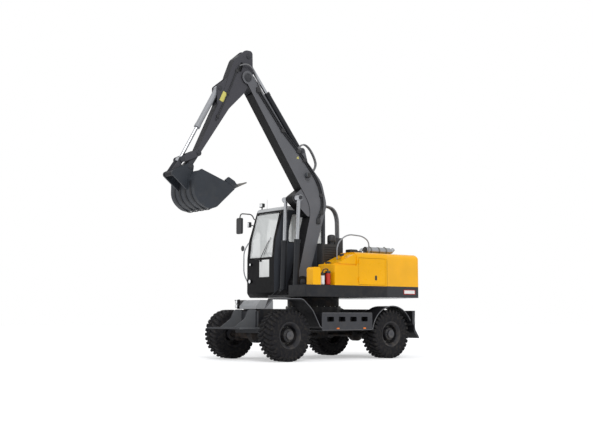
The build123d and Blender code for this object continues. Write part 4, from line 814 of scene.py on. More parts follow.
def tyre(x, side, turn, columns=LUGS * 14):
    """Tyre: p(s, a) = c(s) + m(s, a) (l(s) - c(s)) turned by a, with the mask
    m = clip((share/2 - |frac - 1/2|) / soft + 1/2, 0, 1),
    where frac is the fraction of LUGS a / 2 pi + RAKE |y| + half a pitch for one row."""
    halves = np.array(CARCASS), np.array(LUG_TOP)
    low, top = (np.concatenate([half, half[::-1] * (-1, 1)]) for half in halves)
    angle = np.linspace(0, 2 * np.pi, columns, endpoint=False)
    across = low[:, 0][:, None]
    row = np.where(across > 0, 0.5, 0.0)
    phase = (LUGS * angle[None] / (2 * np.pi) + RAKE * np.abs(across) + row) % 1
    mask = np.clip((LUG_SHARE / 2 - np.abs(phase - 0.5)) / LUG_SOFT + 0.5, 0, 1)[..., None]
    line = low[:, None] + mask * (top - low)[:, None]
    angle = angle + np.radians(turn)
    points = np.stack([line[..., 1] * np.cos(angle), line[..., 0] * side, line[..., 1] * np.sin(angle)], -1)
    points = np.concatenate([points, points[:1]])
    return points.reshape(-1, 3) + (x, side * WHEEL_Y, TYRE_R), grid_faces(len(points), columns, True)


for name, x, side, turn in WHEELS:
    made = piece("tyre_tread_" + name, [tyre(x, side, turn)], tyre_rubber, "wheel_" + name)
    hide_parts("tyre_" + name)

# %% [markdown]
# ### Nuts and hub caps
# Ten nuts hold each rim to its hub, and the hub's cover has its own ring of small bolts
# and a drain plug. The nuts stand on the disc between the hub and the rim's well.
# One nut is made and turned round the axle, so that all of them stay evenly spaced.

# %% Wheel nuts
NUT_CIRCLE = 0.174
COVER_CIRCLE = 0.104
HUB_COVER = ((0, 0.186), (0.06, 0.186), (0.078, 0.1885), (0.084, 0.194), (0.07, 0.2), (0, 0.202))


def at_wheel(x, side, out, across=0.0):
    """Place at a distance outwards from the wheel's middle plane and forwards from its axis."""
    return x + across, side * (WHEEL_Y + out), TYRE_R


for name, x, side, turn in WHEELS:
    nut = hex_head(at_wheel(x, side, 0.035, NUT_CIRCLE), "y", 0.018, 0.02, side < 0)
    bolt = hex_head(at_wheel(x, side, 0.157, COVER_CIRCLE), "y", 0.009, 0.012, side < 0)
    plug = hex_head(at_wheel(x, side, 0.2015), "y", 0.014, 0.012, side < 0)
    cover = turned(HUB_COVER, at_wheel(x, side, 0), "y", 40, side < 0)
    nuts = [shell for shells, step in ((nut, 36), (bolt, 45))
            for shell in ring_of(shells, at_wheel(x, side, 0), "y", range(turn, 360 + turn, step))]
    piece("wheel_nuts_" + name, nuts, zinc, "wheel_" + name)
    piece("hub_cover_" + name, [cover] + plug, hub_paint, "wheel_" + name)

# %% [markdown]
# ## Seat
# The seat is foam under fabric on a suspension base. Each cushion is a superellipsoid,
# which is a ball whose sine and cosine are raised to a small power so that it turns boxy.
# A box with rounded edges would look hard, while this form swells as foam does.
# Sewn grooves press into it, and a welt of piping runs round its widest line.

# %% Cushions
BOXY = 0.32
GROOVE_DEPTH = 0.014
GROOVE_WIDTH = 0.011
CROWN = 0.018


def power(values, exponent=BOXY):
    """Signed power: sign(v) |v|^e."""
    return np.sign(values) * np.abs(values) ** exponent


def tilted(points, degrees):
    """Points turned about Y: x' = x cos + z sin, z' = z cos - x sin."""
    angle = np.radians(degrees)
    x, z = points[..., 0].copy(), points[..., 2].copy()
    points[..., 0] = np.cos(angle) * x + np.sin(angle) * z
    points[..., 2] = -np.sin(angle) * x + np.cos(angle) * z
    return points


def cushion(centre, half, grooves, along, face, tilt, rows=41, cols=96):
    """Superellipsoid p = half * (C(lat) C(lon), C(lat) S(lon), S(lat)) with C, S = signed powers of
    cos and sin, less depth * sum exp(-((u - g) / w)^2) on its face side, u the place along one axis,
    plus a crown; then tilted about Y."""
    lat = np.linspace(-np.pi / 2, np.pi / 2, rows)[:, None]
    lon = np.linspace(0, 2 * np.pi, cols, endpoint=False)[None]
    points = np.stack([power(np.cos(lat)) * power(np.cos(lon)), power(np.cos(lat)) * power(np.sin(lon)),
                       power(np.sin(lat)) * np.ones_like(lon)], -1) * np.array(half)
    outward = points[..., face] / half[face]
    pressed = sum(np.exp(-((points[..., along] - groove) / GROOVE_WIDTH) ** 2) for groove in grooves)
    points[..., face] -= GROOVE_DEPTH * pressed * np.clip(outward, 0, 1) ** 2
    points[..., face] += CROWN * np.clip(outward, 0, 1) ** 2 * np.cos(np.pi / 2 * points[..., 1] / half[1])
    return tilted(points, tilt).reshape(-1, 3) + centre, grid_faces(rows, cols, True)


def welt(centre, half, plane, tilt, count=96):
    """Piping: the superellipse round the cushion in a plane, tilted with it, as a closed tube."""
    turn = np.linspace(0, 2 * np.pi, count, endpoint=False)
    local = np.zeros((count, 3))
    for axis, values in zip(plane, (np.cos(turn), np.sin(turn))):
        local[:, axis] = half[axis] * power(values)
    way = (0, 0, 1) if plane == (0, 1) else (1, 0, 0)
    return tube(tilted(local, tilt) + centre, 0.006, 8, way, closed=True)


PADS = (
    # name, x and z of the centre, half sizes, sewn grooves, axis of the grooves, axis of the face,
    # plane of the welt, tilt in degrees, fill
    ("seat_cushion", -0.08, 1.79, (0.262, 0.245, 0.068), (-0.14, 0.0, 0.13), 0, 2, (0, 1), -3.0, 0.85),
    ("seat_back", -0.352, 2.16, (0.062, 0.235, 0.335), (-0.2, -0.05, 0.1, 0.22), 2, 0, (1, 2), -7.0, 0.85),
    ("seat_headrest", -0.388, 2.545, (0.042, 0.14, 0.062), (0.0,), 2, 0, (1, 2), -7.0, 0.9),
)
for name, x, z, half, grooves, along, face, plane, tilt, fill in PADS:
    centre = (x, CAB_MIDDLE, z)
    pad = piece(name, [cushion(centre, half, grooves, along, face, tilt)], fabric)
    if name == "seat_cushion":
        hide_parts("operator_seat")
    piece(name + "_welt", [welt(centre, half, plane, tilt)], welt_fabric)

# %% [markdown]
# Under the cushions are a rubber bellows of seven folds, a pan, a back plate and tubes.
# All of them lie evenly on both sides of the seat's middle, so a block here is told by its
# half width. The folds are blocks with round edges that stand in and out by turns.

# %% Seat base
def about_seat(x0, x1, half, z0, z1, edge):
    """Block across the seat's middle."""
    return block((x0, CAB_MIDDLE - half, z0), (x1, CAB_MIDDLE + half, z1), edge)


CAB_FLOOR = 1.3503
FOLD = 0.034
FOLD_DRAWN_IN = (0, 0.008, 0, 0.008, 0, 0.008, 0)
BASE_BLOCKS = (
    # x from and to, half width, z from and to, rounding
    (-0.29, 0.08, 0.18, CAB_FLOOR, 1.385, 0.01),
    (-0.27, 0.06, 0.15, 1.385, 1.445, 0.008),
    (-0.30, 0.13, 0.20, 1.677, 1.73, 0.012),
    (-0.40, -0.375, 0.19, 1.90, 2.40, 0.012),
)
base = [about_seat(*row) for row in BASE_BLOCKS]
for sign in (-1, 1):
    wide, slim, post = (CAB_MIDDLE + sign * half for half in (0.23, 0.215, 0.06))
    side_tube = softened([(-0.28, wide, 1.72), (-0.38, wide, 1.74), (-0.40, slim, 1.98)], 0.05)
    base += [tube(side_tube, 0.014, 10), tube([(-0.386, post, 2.44), (-0.392, post, 2.53)], 0.006, 8)]
folds = [about_seat(-0.25 + draw, 0.05 - draw, 0.16 - draw, 1.44 + FOLD * i, 1.474 + FOLD * i, 0.012)
         for i, draw in enumerate(FOLD_DRAWN_IN)]
piece("seat_base", base + folds, black_plastic)

# %% [markdown]
# ## In the cab
# Through the glass show the levers, armrests, screen, steering wheel rim and pedals.
# Grips and boots are turned, as they are moulded round; they need few faces at that distance.

# %% Controls
GRIP = ((0, 0), (0.02, 0.005), (0.024, 0.03), (0.02, 0.075), (0.026, 0.095), (0.016, 0.115), (0, 0.118))
BOOT = ((0, 0), (0.038, 0), (0.036, 0.012), (0.026, 0.022), (0.02, 0.035), (0.01, 0.04), (0, 0.04))
levers = []
for sign in (-1, 1):
    y = CAB_MIDDLE + sign * 0.33
    pedal = CAB_MIDDLE + sign * 0.15
    levers += [block((-0.25, y - 0.055, 2.0), (0.06, y + 0.055, 2.035), 0.02, 5),
               tube(softened([(0.12, y, 1.985), (0.125, y, 2.07), (0.11, y, 2.13)], 0.03), 0.008, 10),
               turned(GRIP, (0.11, y, 2.115), "z", 20),
               turned(BOOT, (0.12, y, 1.988), "z", 24),
               block((0.46, pedal - 0.05, 1.42), (0.53, pedal + 0.05, 1.435), 0.005),
               tube([(0.50, pedal, 1.352), (0.50, pedal, 1.425)], 0.01, 10)]
screen = block((0.70, -0.33, 2.02), (0.73, -0.25, 2.17), 0.01, 4)
stalk = tube([(0.72, -0.29, 1.90), (0.715, -0.29, 2.03)], 0.008, 8)
piece("cab_levers", levers + [screen, stalk], black_plastic)

RIM_R = 0.176
RIM_LEAN = -28
turn = np.linspace(0, 2 * np.pi, 64, endpoint=False)
wheel_rim = tilted(RIM_R * np.stack([np.cos(turn), np.sin(turn), np.zeros(64)], -1), RIM_LEAN)
wheel_rim = tube(wheel_rim + (0.54, CAB_MIDDLE, 2.2), 0.0155, 12, (0.47, 0, 0.88), closed=True)
piece("steering_rim", [wheel_rim], seal_rubber)
mat_rib = block((-0.40, -1.10, 1.357), (-0.38, -0.27, 1.361), 0.0015)
mat_ribs = copies(mat_rib, [(0.05 * i, 0, 0) for i in range(20)])
piece("floor_mat", [block((-0.42, -1.12, CAB_FLOOR), (0.6, -0.25, 1.358), 0.003)] + mat_ribs, seal_rubber)

# %% [markdown]
# ## Cab outside
# Each pane sits in a black rubber seal, which hides the gap between glass and steel.
# A seal is a closed tube along the pane's outline. The windscreen bends with the front
# of the cab, so its seal follows the same lines.

# %% Window seals
CAB_NEAR = -0.185
CAB_FAR = -1.185
FRONT_LINE = ((0.914, 2.162), (0.892, 2.36), (0.868, 2.566), (0.832, 2.70), (0.790, 2.855), (0.712, 3.148))
SIDE_SEALS = (
    # name, body, y, radius of the corners, (x, z) corners
    ("side_seal", "upper", CAB_NEAR - 0.004, 0.05,
     ((-0.41, 2.50), (0.54, 2.50), (0.54, 2.76), (0.44, 3.13), (-0.41, 3.13))),
    ("quarter_seal", "upper", CAB_FAR + 0.004, 0.05,
     ((0.57, 2.21), (0.83, 2.21), (0.80, 2.56), (0.70, 2.80), (0.57, 2.80))),
    ("door_seal", "cab_door", CAB_FAR + 0.004, 0.045,
     ((-0.325, 2.08), (0.425, 2.08), (0.425, 2.69), (0.365, 3.095), (-0.325, 3.095))),
)
edges = np.concatenate([on_side(FRONT_LINE, -0.262), on_side(FRONT_LINE[::-1], -1.108)])
piece("windscreen_seal", [tube(edges, 0.012, 10, (0.2, 1, 0.1), closed=True)], seal_rubber)
for name, body, y, radius, corners in SIDE_SEALS:
    ring = on_side(softened(corners, radius, 6, closed=True), y)
    piece(name, [tube(ring, 0.011, 10, (0, 1, 0), closed=True)], seal_rubber, body)
rear = box_outline(-1.095, -0.275, 2.36, 3.12, 0.03)
rear = np.stack([np.full(len(rear), -0.498), rear[:, 0], rear[:, 1]], -1)
piece("rear_seal", [tube(rear, 0.011, 10, (1, 0, 0), closed=True)], seal_rubber)

# %% [markdown]
# The wiper has an arm that is bent to clear the pane's lower edge, and a straight blade on it.
# The door is opened with a flat bar on two feet above a round lock.

# %% Wiper, handle, antenna
WIPER_ARM = ((0.945, -0.66, 2.10), (0.942, -0.66, 2.16), (0.907, -0.47, 2.45), (0.893, -0.42, 2.53))
ANTENNA_FOOT = ((0, 0), (0.018, 0), (0.016, 0.01), (0.006, 0.03), (0, 0.032))
wiper = [tube(softened(WIPER_ARM, 0.02), 0.006, 8),
         tube([(0.930, -0.55, 2.22), (0.888, -0.35, 2.60)], 0.005, 8),
         block((0.914, -0.69, 2.08), (0.95, -0.63, 2.13), 0.008)]
piece("wiper", wiper, seal_rubber)
handle = [block((0.36, CAB_FAR - 0.022, 2.0), (0.47, CAB_FAR - 0.012, 2.03), 0.004)]
handle += [block((x, CAB_FAR - 0.014, 2.005), (x + 0.015, CAB_FAR + 0.002, 2.025), 0.003)
           for x in (0.37, 0.445)]
handle.append(turned(disc(0.016, 0.006), (0.415, CAB_FAR + 0.001, 1.95), "y", 24, True))
piece("door_handle", handle, black_plastic, "cab_door")
antenna = [tube([(0.448, -1.10, 3.292), (0.44, -1.10, 3.52)], 0.0022, 8, (0, 1, 0)),
           turned(ANTENNA_FOOT, (0.448, -1.10, 3.2898), "z", 20)]
piece("antenna", antenna, black_plastic)

# %% [markdown]
# Work lamps are square boxes with a lens let into the front. Head lamps and markers are
# turned cups, and their lens is a shallow dome a little smaller than the cup. A lens is a
# piece of its own, because it has another finish than its housing.

# %% Lamps
LENS_MARGIN = 0.012
LENS_SUNK = 0.006
LENS_PROUD = 0.005
# profiles in shares of a lamp's radius and depth
CUP = ((0, 0), (0.6, 0), (0.95, 0.4), (1, 1), (0.92, 1.04), (0.88, 0.92), (0, 0.9))
DOME = ((0, 1.1), (0.5, 1.07), (0.87, 0.95), (0.87, 0.9), (0, 0.9))


def work_lamp(centre, stem, width, height, depth=0.075):
    """Square lamp facing forward: a rounded housing with a lens in front and a bracket below."""
    x, y, z = centre
    half = np.array((depth, width, height)) / 2
    housing = block(centre - half, centre + half, 0.014, 4)
    lens = block((x + half[0] - LENS_SUNK, y - half[1] + LENS_MARGIN, z - half[2] + LENS_MARGIN),
                 (x + half[0] + LENS_PROUD, y + half[1] - LENS_MARGIN, z + half[2] - LENS_MARGIN), 0.004)
    foot = z - half[2]
    bracket = block((x - 0.012, y - 0.01, foot - stem), (x + 0.012, y + 0.01, foot + 0.004), 0.003)
    return [housing, bracket], lens


def round_lamp(centre, radius, depth):
    """Round lamp facing forward: a turned cup and a domed lens a little smaller."""
    cup, dome = (turned(np.array(shares) * (radius, depth), centre, "x") for shares in (CUP, DOME))
    return [cup], dome


LAMPS = (
    # name, body, the two shells, finish of the lens
    ("roof_lamp", "upper", work_lamp((0.60, -1.08, 3.375), 0.045, 0.13, 0.09), clear_lens),
    ("pillar_lamp", "upper", work_lamp((0.885, -1.165, 2.93), 0.0, 0.07, 0.12), clear_lens),
    ("cab_lamp", "upper", round_lamp((0.9245, -1.04, 2.03), 0.03, 0.03), clear_lens),
    ("cab_marker", "upper", round_lamp((0.9245, -1.06, 1.66), 0.045, 0.03), clear_lens),
    ("head_lamp_top", "chassis", round_lamp((1.70, -0.385, 1.197), 0.042, 0.06), clear_lens),
    ("head_lamp_low", "chassis", round_lamp((1.70, -0.385, 1.108), 0.042, 0.06), clear_lens),
    ("boom_lamp", "boom", work_lamp((0.50, 0.455, 3.90), 0.0, 0.10, 0.10, 0.09), smoked_lens),
)
for name, body, (housing, lens), finish in LAMPS:
    foot = [block((0.47, 0.394, 3.88), (0.50, 0.41, 3.92), 0.003)] if name == "boom_lamp" else []
    piece(name, housing + foot, black_plastic, body)
    piece(name + "_lens", [lens], finish, body)
lamp_arm = tube(softened([(0.74, -1.165, 2.90), (0.80, -1.165, 2.92), (0.86, -1.165, 2.93)], 0.02), 0.01, 10)
piece("pillar_lamp_arm", [lamp_arm], black_plastic)
piece("head_lamp_bracket", [block((1.66, -0.44, 1.05), (1.70, -0.288, 1.09), 0.004),
                            block((1.692, -0.43, 1.06), (1.70, -0.34, 1.25), 0.003)], dark_paint, "chassis")

# %% [markdown]
# A small round mirror looks down the front corner; its cup is turned. The large mirror's
# housing comes from the CAD model, and only its glass is added, as a thin block.
# A blank white sheet hangs on the lower front.

# %% Mirrors and the blank sheet
MIRROR_CUP = ((0, 0), (0.02, 0.004), (0.058, 0.016), (0.062, 0.026), (0.056, 0.03), (0, 0.031))
piece("round_mirror", [turned(MIRROR_CUP, (0.985, -1.245, 2.40), "x", 40)], black_plastic)
piece("mirror_glass", [block((0.9945, -1.43, 2.75), (0.9995, -1.27, 3.07), 0.002)], mirror_silver)
piece("notice_sheet", [block((0.9262, -0.72, 1.745), (0.9282, -0.36, 2.12), 0.0008)], blank_white)

# %% [markdown]
# ## Undercarriage
# The mudguards have a rolled bead along their outer edge, which stiffens the sheet and
# catches the light; its paint is a lighter grey than the guard, a painted highlight along the edge. It is a
# tube along the guard's own outline.
# There are anti-slip ribs where people step, and amber reflectors on the step boxes.

# %% Mudguard beads
GUARD_Y = 1.187
STEP_Y = 1.1855
STEP_LOW = 0.618
STEP_TOP = 0.968
FRONT_GUARD = ((0.723, 0.664), (0.78, 0.70), (0.96, 1.02), (1.215, 1.25), (1.96, 1.25), (2.165, 1.055))
FRONT_BENDS = np.array([[0], [0.0072], [0.0655], [0.069], [0.024], [0]])
REAR_MIDDLE = (-1.25, 0.52)
REAR_R = 0.599


def edge_bead(line):
    """Bead: a tube along an (x, z) line at the mudguard's edge."""
    return tube(on_side(line, GUARD_Y), 0.009, 10)


front_bead = softened(FRONT_GUARD, FRONT_BENDS, 8)
short_bead = np.concatenate([front_bead[front_bead[:, 0] < 1.216], [(1.249, 1.25)]])
arc = np.radians(np.linspace(9.5, 150.5, 40))
rear_bead = np.array(REAR_MIDDLE) + REAR_R * np.stack([np.cos(arc), np.sin(arc)], -1)
beads = [edge_bead(front_bead), edge_bead(rear_bead)]
beads += [flipped(edge_bead(line)) for line in (short_bead, rear_bead)]
beads += [tube([(-0.63, sign * STEP_Y, z), (0.71, sign * STEP_Y, z)], 0.008, 10)
          for sign in (1, -1) for z in (STEP_LOW, STEP_TOP)]
# The beads are painted lighter than the guards, as a painted highlight.
piece("mudguard_beads", beads, bead_highlight_paint, "chassis")

# %% Ribs and reflectors
def rib(x, y0, y1, z, width=0.012, height=0.0075):
    """Anti-slip rib across the machine."""
    return block((x, y0, z), (x + width, y1, z + height), 0.003)


step_ribs = [rib(x, sign * 0.965 - 0.2, sign * 0.965 + 0.2, STEP_TOP)
             for sign in (1, -1) for x in np.arange(-0.56, 0.70, 0.042)]
piece("step_ribs", step_ribs, step_paint, "chassis")
slope_rib = rotated(rib(1.674, -0.27, 0.27, 1.168), (1.68, 0, 1.17), "y", [45])[0]
box_ribs = [rib(x, -0.27, 0.27, 1.228) for x in np.arange(1.32, 1.60, 0.036)]
box_ribs += copies(slope_rib, [(d, 0, -d) for d in (-0.045, -0.02, 0.005, 0.03, 0.05)])
piece("box_ribs", box_ribs, light_paint, "chassis")
reflectors = [block((x - 0.035, sign * 1.192 - 0.004, 0.637), (x + 0.035, sign * 1.192 + 0.004, 0.663), 0.003)
              for sign in (1, -1) for x in (0.30, -0.43)]
piece("reflectors", reflectors, orange_plastic, "chassis")

# %% [markdown]
# The slewing ring is bolted down all round. The blade's cutting edge wears out first, so it is
# a separate bar held by a row of bolts, and it leans back with the blade.

# %% Bolts and the cutting edge
ring_bolt = hex_head((0.582, 0, 1.0998), "z", 0.022, 0.018)
piece("ring_bolts", ring_of(ring_bolt, (0, 0, 0), "z", np.arange(0, 360, 15)), zinc, "chassis")
KINGPIN_Y = 0.66
for name, side in (("left", 1), ("right", -1)):
    hub_bolt = hex_head((FRONT_AXLE_X + 0.055, side * KINGPIN_Y, 0.618), "z", 0.014, 0.012)
    bolts = ring_of(hub_bolt, (FRONT_AXLE_X, side * KINGPIN_Y, 0), "z", np.arange(30, 390, 60))
    piece("kingpin_bolts_" + name, bolts, zinc, "knuckle_" + name)

EDGE_MIDDLE = (-1.972, 0.0, 0.51)
EDGE_LEAN = [34.8]
edge_bar = block((-1.988, -1.195, 0.425), (-1.968, 1.195, 0.592), 0.004)
edge_bolt = ring_of(hex_head((-1.988, 0, 0.535), "x", 0.022, 0.014, True), EDGE_MIDDLE, "y", EDGE_LEAN)
bolt_row = [(0, y, 0) for y in np.linspace(-1.1, 1.1, 12)]
piece("blade_edge", rotated(edge_bar, EDGE_MIDDLE, "y", EDGE_LEAN), worn_steel, "blade")
piece("blade_edge_bolts", [shell for part in edge_bolt for shell in copies(part, bolt_row)], zinc, "blade")

# %% [markdown]
# ## Upper structure
# Latches close the doors, and a bar lifts the lid. The lid and one door have louvres that
# let out the engine's heat. Real louvres are pressed out of the sheet; here raised slats
# stand for them, because one slat is made and then repeated at an even pitch.

# %% Latches and louvres
def latch(centre, side):
    """Oval latch on a side face: a cup with a paddle in it and a small lock barrel."""
    x, y, z = centre
    oval = box_outline(x - 0.028, x + 0.028, z - 0.052, z + 0.052, 0.027, 7)
    paddle = box_outline(x - 0.018, x + 0.018, z - 0.03, z + 0.036, 0.017, 7)
    lock = turned(disc(0.008, 0.012), (x, y + side * 0.002, z - 0.038), "y", 20, side < 0)
    return [plate(oval, *sorted((y - side * 0.004, y + side * 0.007)), edge=0.004),
            plate(paddle, *sorted((y, y + side * 0.012)), edge=0.004), lock]


piece("latch_left", latch((-0.785, 1.17, 1.713), 1), black_plastic, "service_door_left")
piece("latch_right", latch((-0.95, -1.17, 1.76), -1), black_plastic, "service_door_right")
LID_HANDLE = ((-1.0, -0.08, 2.247), (-1.0, -0.08, 2.285), (-1.0, 0.08, 2.285), (-1.0, 0.08, 2.247))
SLAT_PITCH = 0.034
handle = tube(softened(LID_HANDLE, 0.02), 0.008, 10, (1, 0, 0))
piece("lid_handle", [handle], black_plastic, "hood_lid")
slat = block((-0.92, -0.16, 2.2485), (-0.902, 0.16, 2.257), 0.003)
lid_slats = copies(slat, [(SLAT_PITCH * i, y, 0) for i in range(8) for y in (-0.3, 0.3)])
piece("lid_louvres", lid_slats, black_plastic, "hood_lid")
slat = block((-0.86, -1.1785, 1.64), (-0.68, -1.168, 1.657), 0.004)
door_slats = copies(slat, [(0, 0, SLAT_PITCH * i) for i in range(10)])
piece("door_louvres", door_slats, black_plastic, "service_door_right")
seams = [block((-1.113, -1.06, 2.2485), (-1.107, 1.06, 2.2525), 0.002),
         block((-1.113, 1.168, 1.545), (-1.107, 1.1715, 2.13), 0.001),
         block((-1.113, -1.1715, 1.545), (-1.107, -1.168, 2.13), 0.001)]
piece("hood_seams", seams, seal_rubber)

# %% [markdown]
# Caps are turned, with a raised grip across them. The two filters in the bay are spin-on cans
# under cast heads, with a hose between. They are ribbed so that a hand can turn them, and the
# ribs are in the profile itself, which costs no further pieces.

# %% Caps and filters
DECK_TOP = 1.5405
TANK_CAP = ((0, 0), (0.05, 0), (0.054, 0.006), (0.052, 0.024), (0.044, 0.032), (0, 0.034))
FUEL_CAP = ((0, -0.005), (0.058, -0.005), (0.062, 0.004), (0.06, 0.028), (0.05, 0.036), (0, 0.038))
tank_cap = [turned(TANK_CAP, (0.02, 1.01, 2.171), "z", 36),
            block((0.012, 0.974, 2.2), (0.028, 1.046, 2.216), 0.005)]
fuel_cap = [turned(FUEL_CAP, (0.285, 0.86, 1.99), "z", 36),
            block((0.275, 0.82, 2.024), (0.295, 0.90, 2.04), 0.006)]
piece("tank_caps", ring_of(tank_cap, (0.02, 1.01, 2.13), "y", [24]) + fuel_cap, black_plastic)


def canister(x, y, radius, height):
    """Spin-on filter from the deck up to its head: a can whose side waves in and out by 1.5%."""
    levels = np.linspace(0.02, height - 0.03, 22)
    wavy = [(radius * (1 + 0.015 * (-1) ** k), level) for k, level in enumerate(levels)]
    foot = [(0, 0), (radius * 0.7, 0), (radius * 0.97, 0.012)]
    return turned(foot + wavy + [(radius, height), (0, height)], (x, y, DECK_TOP), "z", 28)


piece("red_canister", [canister(0.47, 1.075, 0.052, 0.24)], red_plastic)
piece("white_canister", [canister(0.635, 1.09, 0.048, 0.19)], blank_white)
HOSE_OVER = ((0.47, 1.075, 1.82), (0.47, 1.075, 1.87), (0.56, 1.05, 1.87), (0.635, 1.09, 1.80),
             (0.635, 1.09, 1.77))
HOSE_BEHIND = ((0.39, 0.95, 1.62), (0.44, 0.93, 1.68), (0.58, 0.93, 1.68), (0.74, 0.97, 1.60))
heads = [turned(disc(0.056, 0.05), (0.47, 1.075, 1.7805), "z", 28),
         turned(disc(0.052, 0.045), (0.635, 1.09, 1.7305), "z", 28),
         block((0.41, 0.985, DECK_TOP), (0.70, 1.0, 1.80), 0.004),
         tube(softened(HOSE_OVER, 0.04), 0.012, 10), tube(softened(HOSE_BEHIND, 0.05), 0.014, 10)]
piece("filter_heads", heads, black_plastic)

# %% [markdown]
# Air goes in through the pre-cleaner, a turned bowl on the hood, and out through the muffler,
# which is held down by bands. A bright pipe runs beside it.

# %% Pre-cleaner, exhaust and boxes on the hood
HOOD_TOP = 2.2505
BOWL = ((0, 0), (0.05, 0), (0.052, 0.05), (0.082, 0.062), (0.09, 0.09), (0.09, 0.16), (0.082, 0.19),
        (0.06, 0.208), (0.03, 0.215), (0, 0.216))
BAND = ((0.0775, -0.018), (0.083, -0.018), (0.083, 0.018), (0.0775, 0.018), (0.0775, -0.018))
AIR_LINE = ((-0.86, 0.60, HOOD_TOP), (-0.86, 0.60, 2.35), (-1.05, 0.55, 2.37), (-1.5, 0.55, 2.37),
            (-1.62, 0.55, 2.25))
SMALL_CAP = ((0, 0), (0.05, 0), (0.053, 0.01), (0.05, 0.05), (0.04, 0.06), (0, 0.062))
piece("pre_cleaner", [turned(BOWL, (-0.07, 0.545, 2.4305), "z", 36)], black_plastic)
piece("deck_box", [block((-0.57, 0.66, HOOD_TOP), (-0.36, 0.84, 2.33), 0.02, 4),
                   turned(SMALL_CAP, (-0.70, 0.72, HOOD_TOP), "z", 32)], black_plastic)
bands = [turned(BAND, (x, 0.72, 2.334), "x", 40) for x in (-1.0, -1.24, -1.45)]
bands += [block((x - 0.008, 0.70, 2.41), (x + 0.008, 0.74, 2.43), 0.004) for x in (-1.0, -1.45)]
piece("muffler_bands", bands, zinc)
piece("air_pipe", [tube(softened(AIR_LINE, 0.07), 0.034, 16)], bright_steel)

# %% [markdown]
# The tail is a wide curve, so each lamp is made on the middle line and swung round to its
# place. Between the lamps is a blank plate, and lifting eyes stand on the counterweight.

# %% Tail
EYE_LINE = ((-1.62, 2.247), (-1.62, 2.33), (-1.74, 2.33), (-1.74, 2.247))
eyes = [tube(on_side(softened(EYE_LINE, 0.045), y), 0.014) for y in (-0.62, 0.32)]
piece("lifting_eyes", eyes, dark_paint)
TAIL_SWING = (-22.4, 22.4)
TAIL_LAMPS = (
    # name, finish, low and high corner, rounding
    ("tail_lamp_bodies", black_plastic, (-2.378, -0.085, 1.595), (-2.352, 0.085, 1.705), 0.006),
    ("tail_lamps_red", red_lens, (-2.384, -0.072, 1.606), (-2.370, 0.018, 1.694), 0.004),
    ("tail_lamps_amber", amber_lens, (-2.384, 0.024, 1.606), (-2.370, 0.072, 1.694), 0.004),
)
for name, finish, low, high, edge in TAIL_LAMPS:
    piece(name, rotated(block(low, high, edge), (0, 0, 0), "z", TAIL_SWING), finish)
piece("tail_plate", [block((-2.364, -0.24, 1.60), (-2.345, 0.24, 1.715), 0.003)], blank_white)
border = plate(box_outline(-1.95, -1.60, 1.375, 1.475, 0.008), 1.1695, 1.1735, "y", 0.001)
piece("side_plate_border", [border], red_plastic)
blank = plate(box_outline(-1.932, -1.618, 1.389, 1.461, 0.006), 1.1725, 1.1745, "y", 0.0008)
piece("side_plate", [blank], blank_white)

# %% [markdown]
# ## Boom, arm and bucket
# The boom, the arm and the bucket turn on steel pins. A cap on each end keeps the grease in
# and is held by three small bolts. The table has one row for each pin, and its body is the
# one that the cap turns with.

# %% Pin caps
PINS = (
    # body, x, z, outer face beside the boom's middle, cap radius
    ("upper", 0.635, 1.611, 0.177, 0.075),
    ("boom", 2.038, 5.810, 0.147, 0.085),
    ("boom", 0.576, 4.427, 0.106, 0.048),
    ("arm", 2.008, 6.264, 0.112, 0.05),
    ("arm", 2.700, 5.500, 0.098, 0.048),
    ("arm", 3.213, 4.111, 0.136, 0.052),
    ("arm", 3.421, 3.814, 0.178, 0.055),
    ("rocker", 3.568, 3.953, 0.136, 0.05),
    ("boom_cylinder_rod", 0.775, 3.390, 0.293, 0.048),
)
SUNK = 0.0005


def pin_cap(body, x, out, z, radius, side):
    """Stepped cap with three bolts; the rocker's is a thin flat disc, as the bucket's ears pass close by."""
    y = BOOM_MIDDLE + side * (out - SUNK)
    if body == "rocker":
        return [turned(disc(radius, 0.0015), (x, y, z), "y", 32, side < 0)]
    profile = [(0, 0), (radius, 0), (radius, 0.008), (radius * 0.93, 0.011), (radius * 0.5, 0.011),
               (radius * 0.42, 0.015), (0, 0.015)]
    bolt = hex_head((x + radius * 0.7, y + side * 0.01, z), "y", radius * 0.22, 0.008, side < 0)
    return [turned(profile, (x, y, z), "y", 32, side < 0)] + ring_of(bolt, (x, y, z), "y", (35, 155, 275))


for k, (body, x, z, out, radius) in enumerate(PINS):
    caps = [shell for side in (1, -1) for shell in pin_cap(body, x, out, z, radius, side)]
    piece("pin_caps_" + str(k + 1), caps, pin_paint, body)

# %% [markdown]
# Oil reaches the cylinders through steel pipes laid in pairs beside the boom. Both pipes of a
# pair follow one line, the second shifted by a step along the line's normal, so they stay parallel.

# %% Steel pipes on the boom
BOOM_SIDE = 0.395
PIPE_R = 0.014
PIPE_STEP = -0.045
PIPE_LINE = ((0.18, 2.95), (0.02, 3.25), (0.13, 3.76), (0.62, 4.33), (1.10, 4.78), (1.78, 5.60))
PIPE_BENDS = np.array([[0], [0.2], [0.28], [0.12], [0.1], [0]])
CLAMPS_AT = (0.08, 0.3, 0.52, 0.74, 0.93)


def beside(line, offset):
    """The (x, z) line shifted sideways: p + offset n, n the left normal of its run."""
    run = np.gradient(line, axis=0)
    run /= np.linalg.norm(run, axis=1, keepdims=True)
    return line + offset * np.stack([-run[:, 1], run[:, 0]], -1)


def clamp(at, reach, y, side, stand, edge):
    """Block round the pair of pipes at a point of their line, which stands out past them. It reaches
    back, forward, down and up from the point."""
    back, forward, down, up = reach
    low, high = sorted((y - side * (PIPE_R + 0.004), y + side * (PIPE_R + stand)))
    return block((at[0] - back, low, at[1] - down), (at[0] + forward, high, at[1] + up), edge)


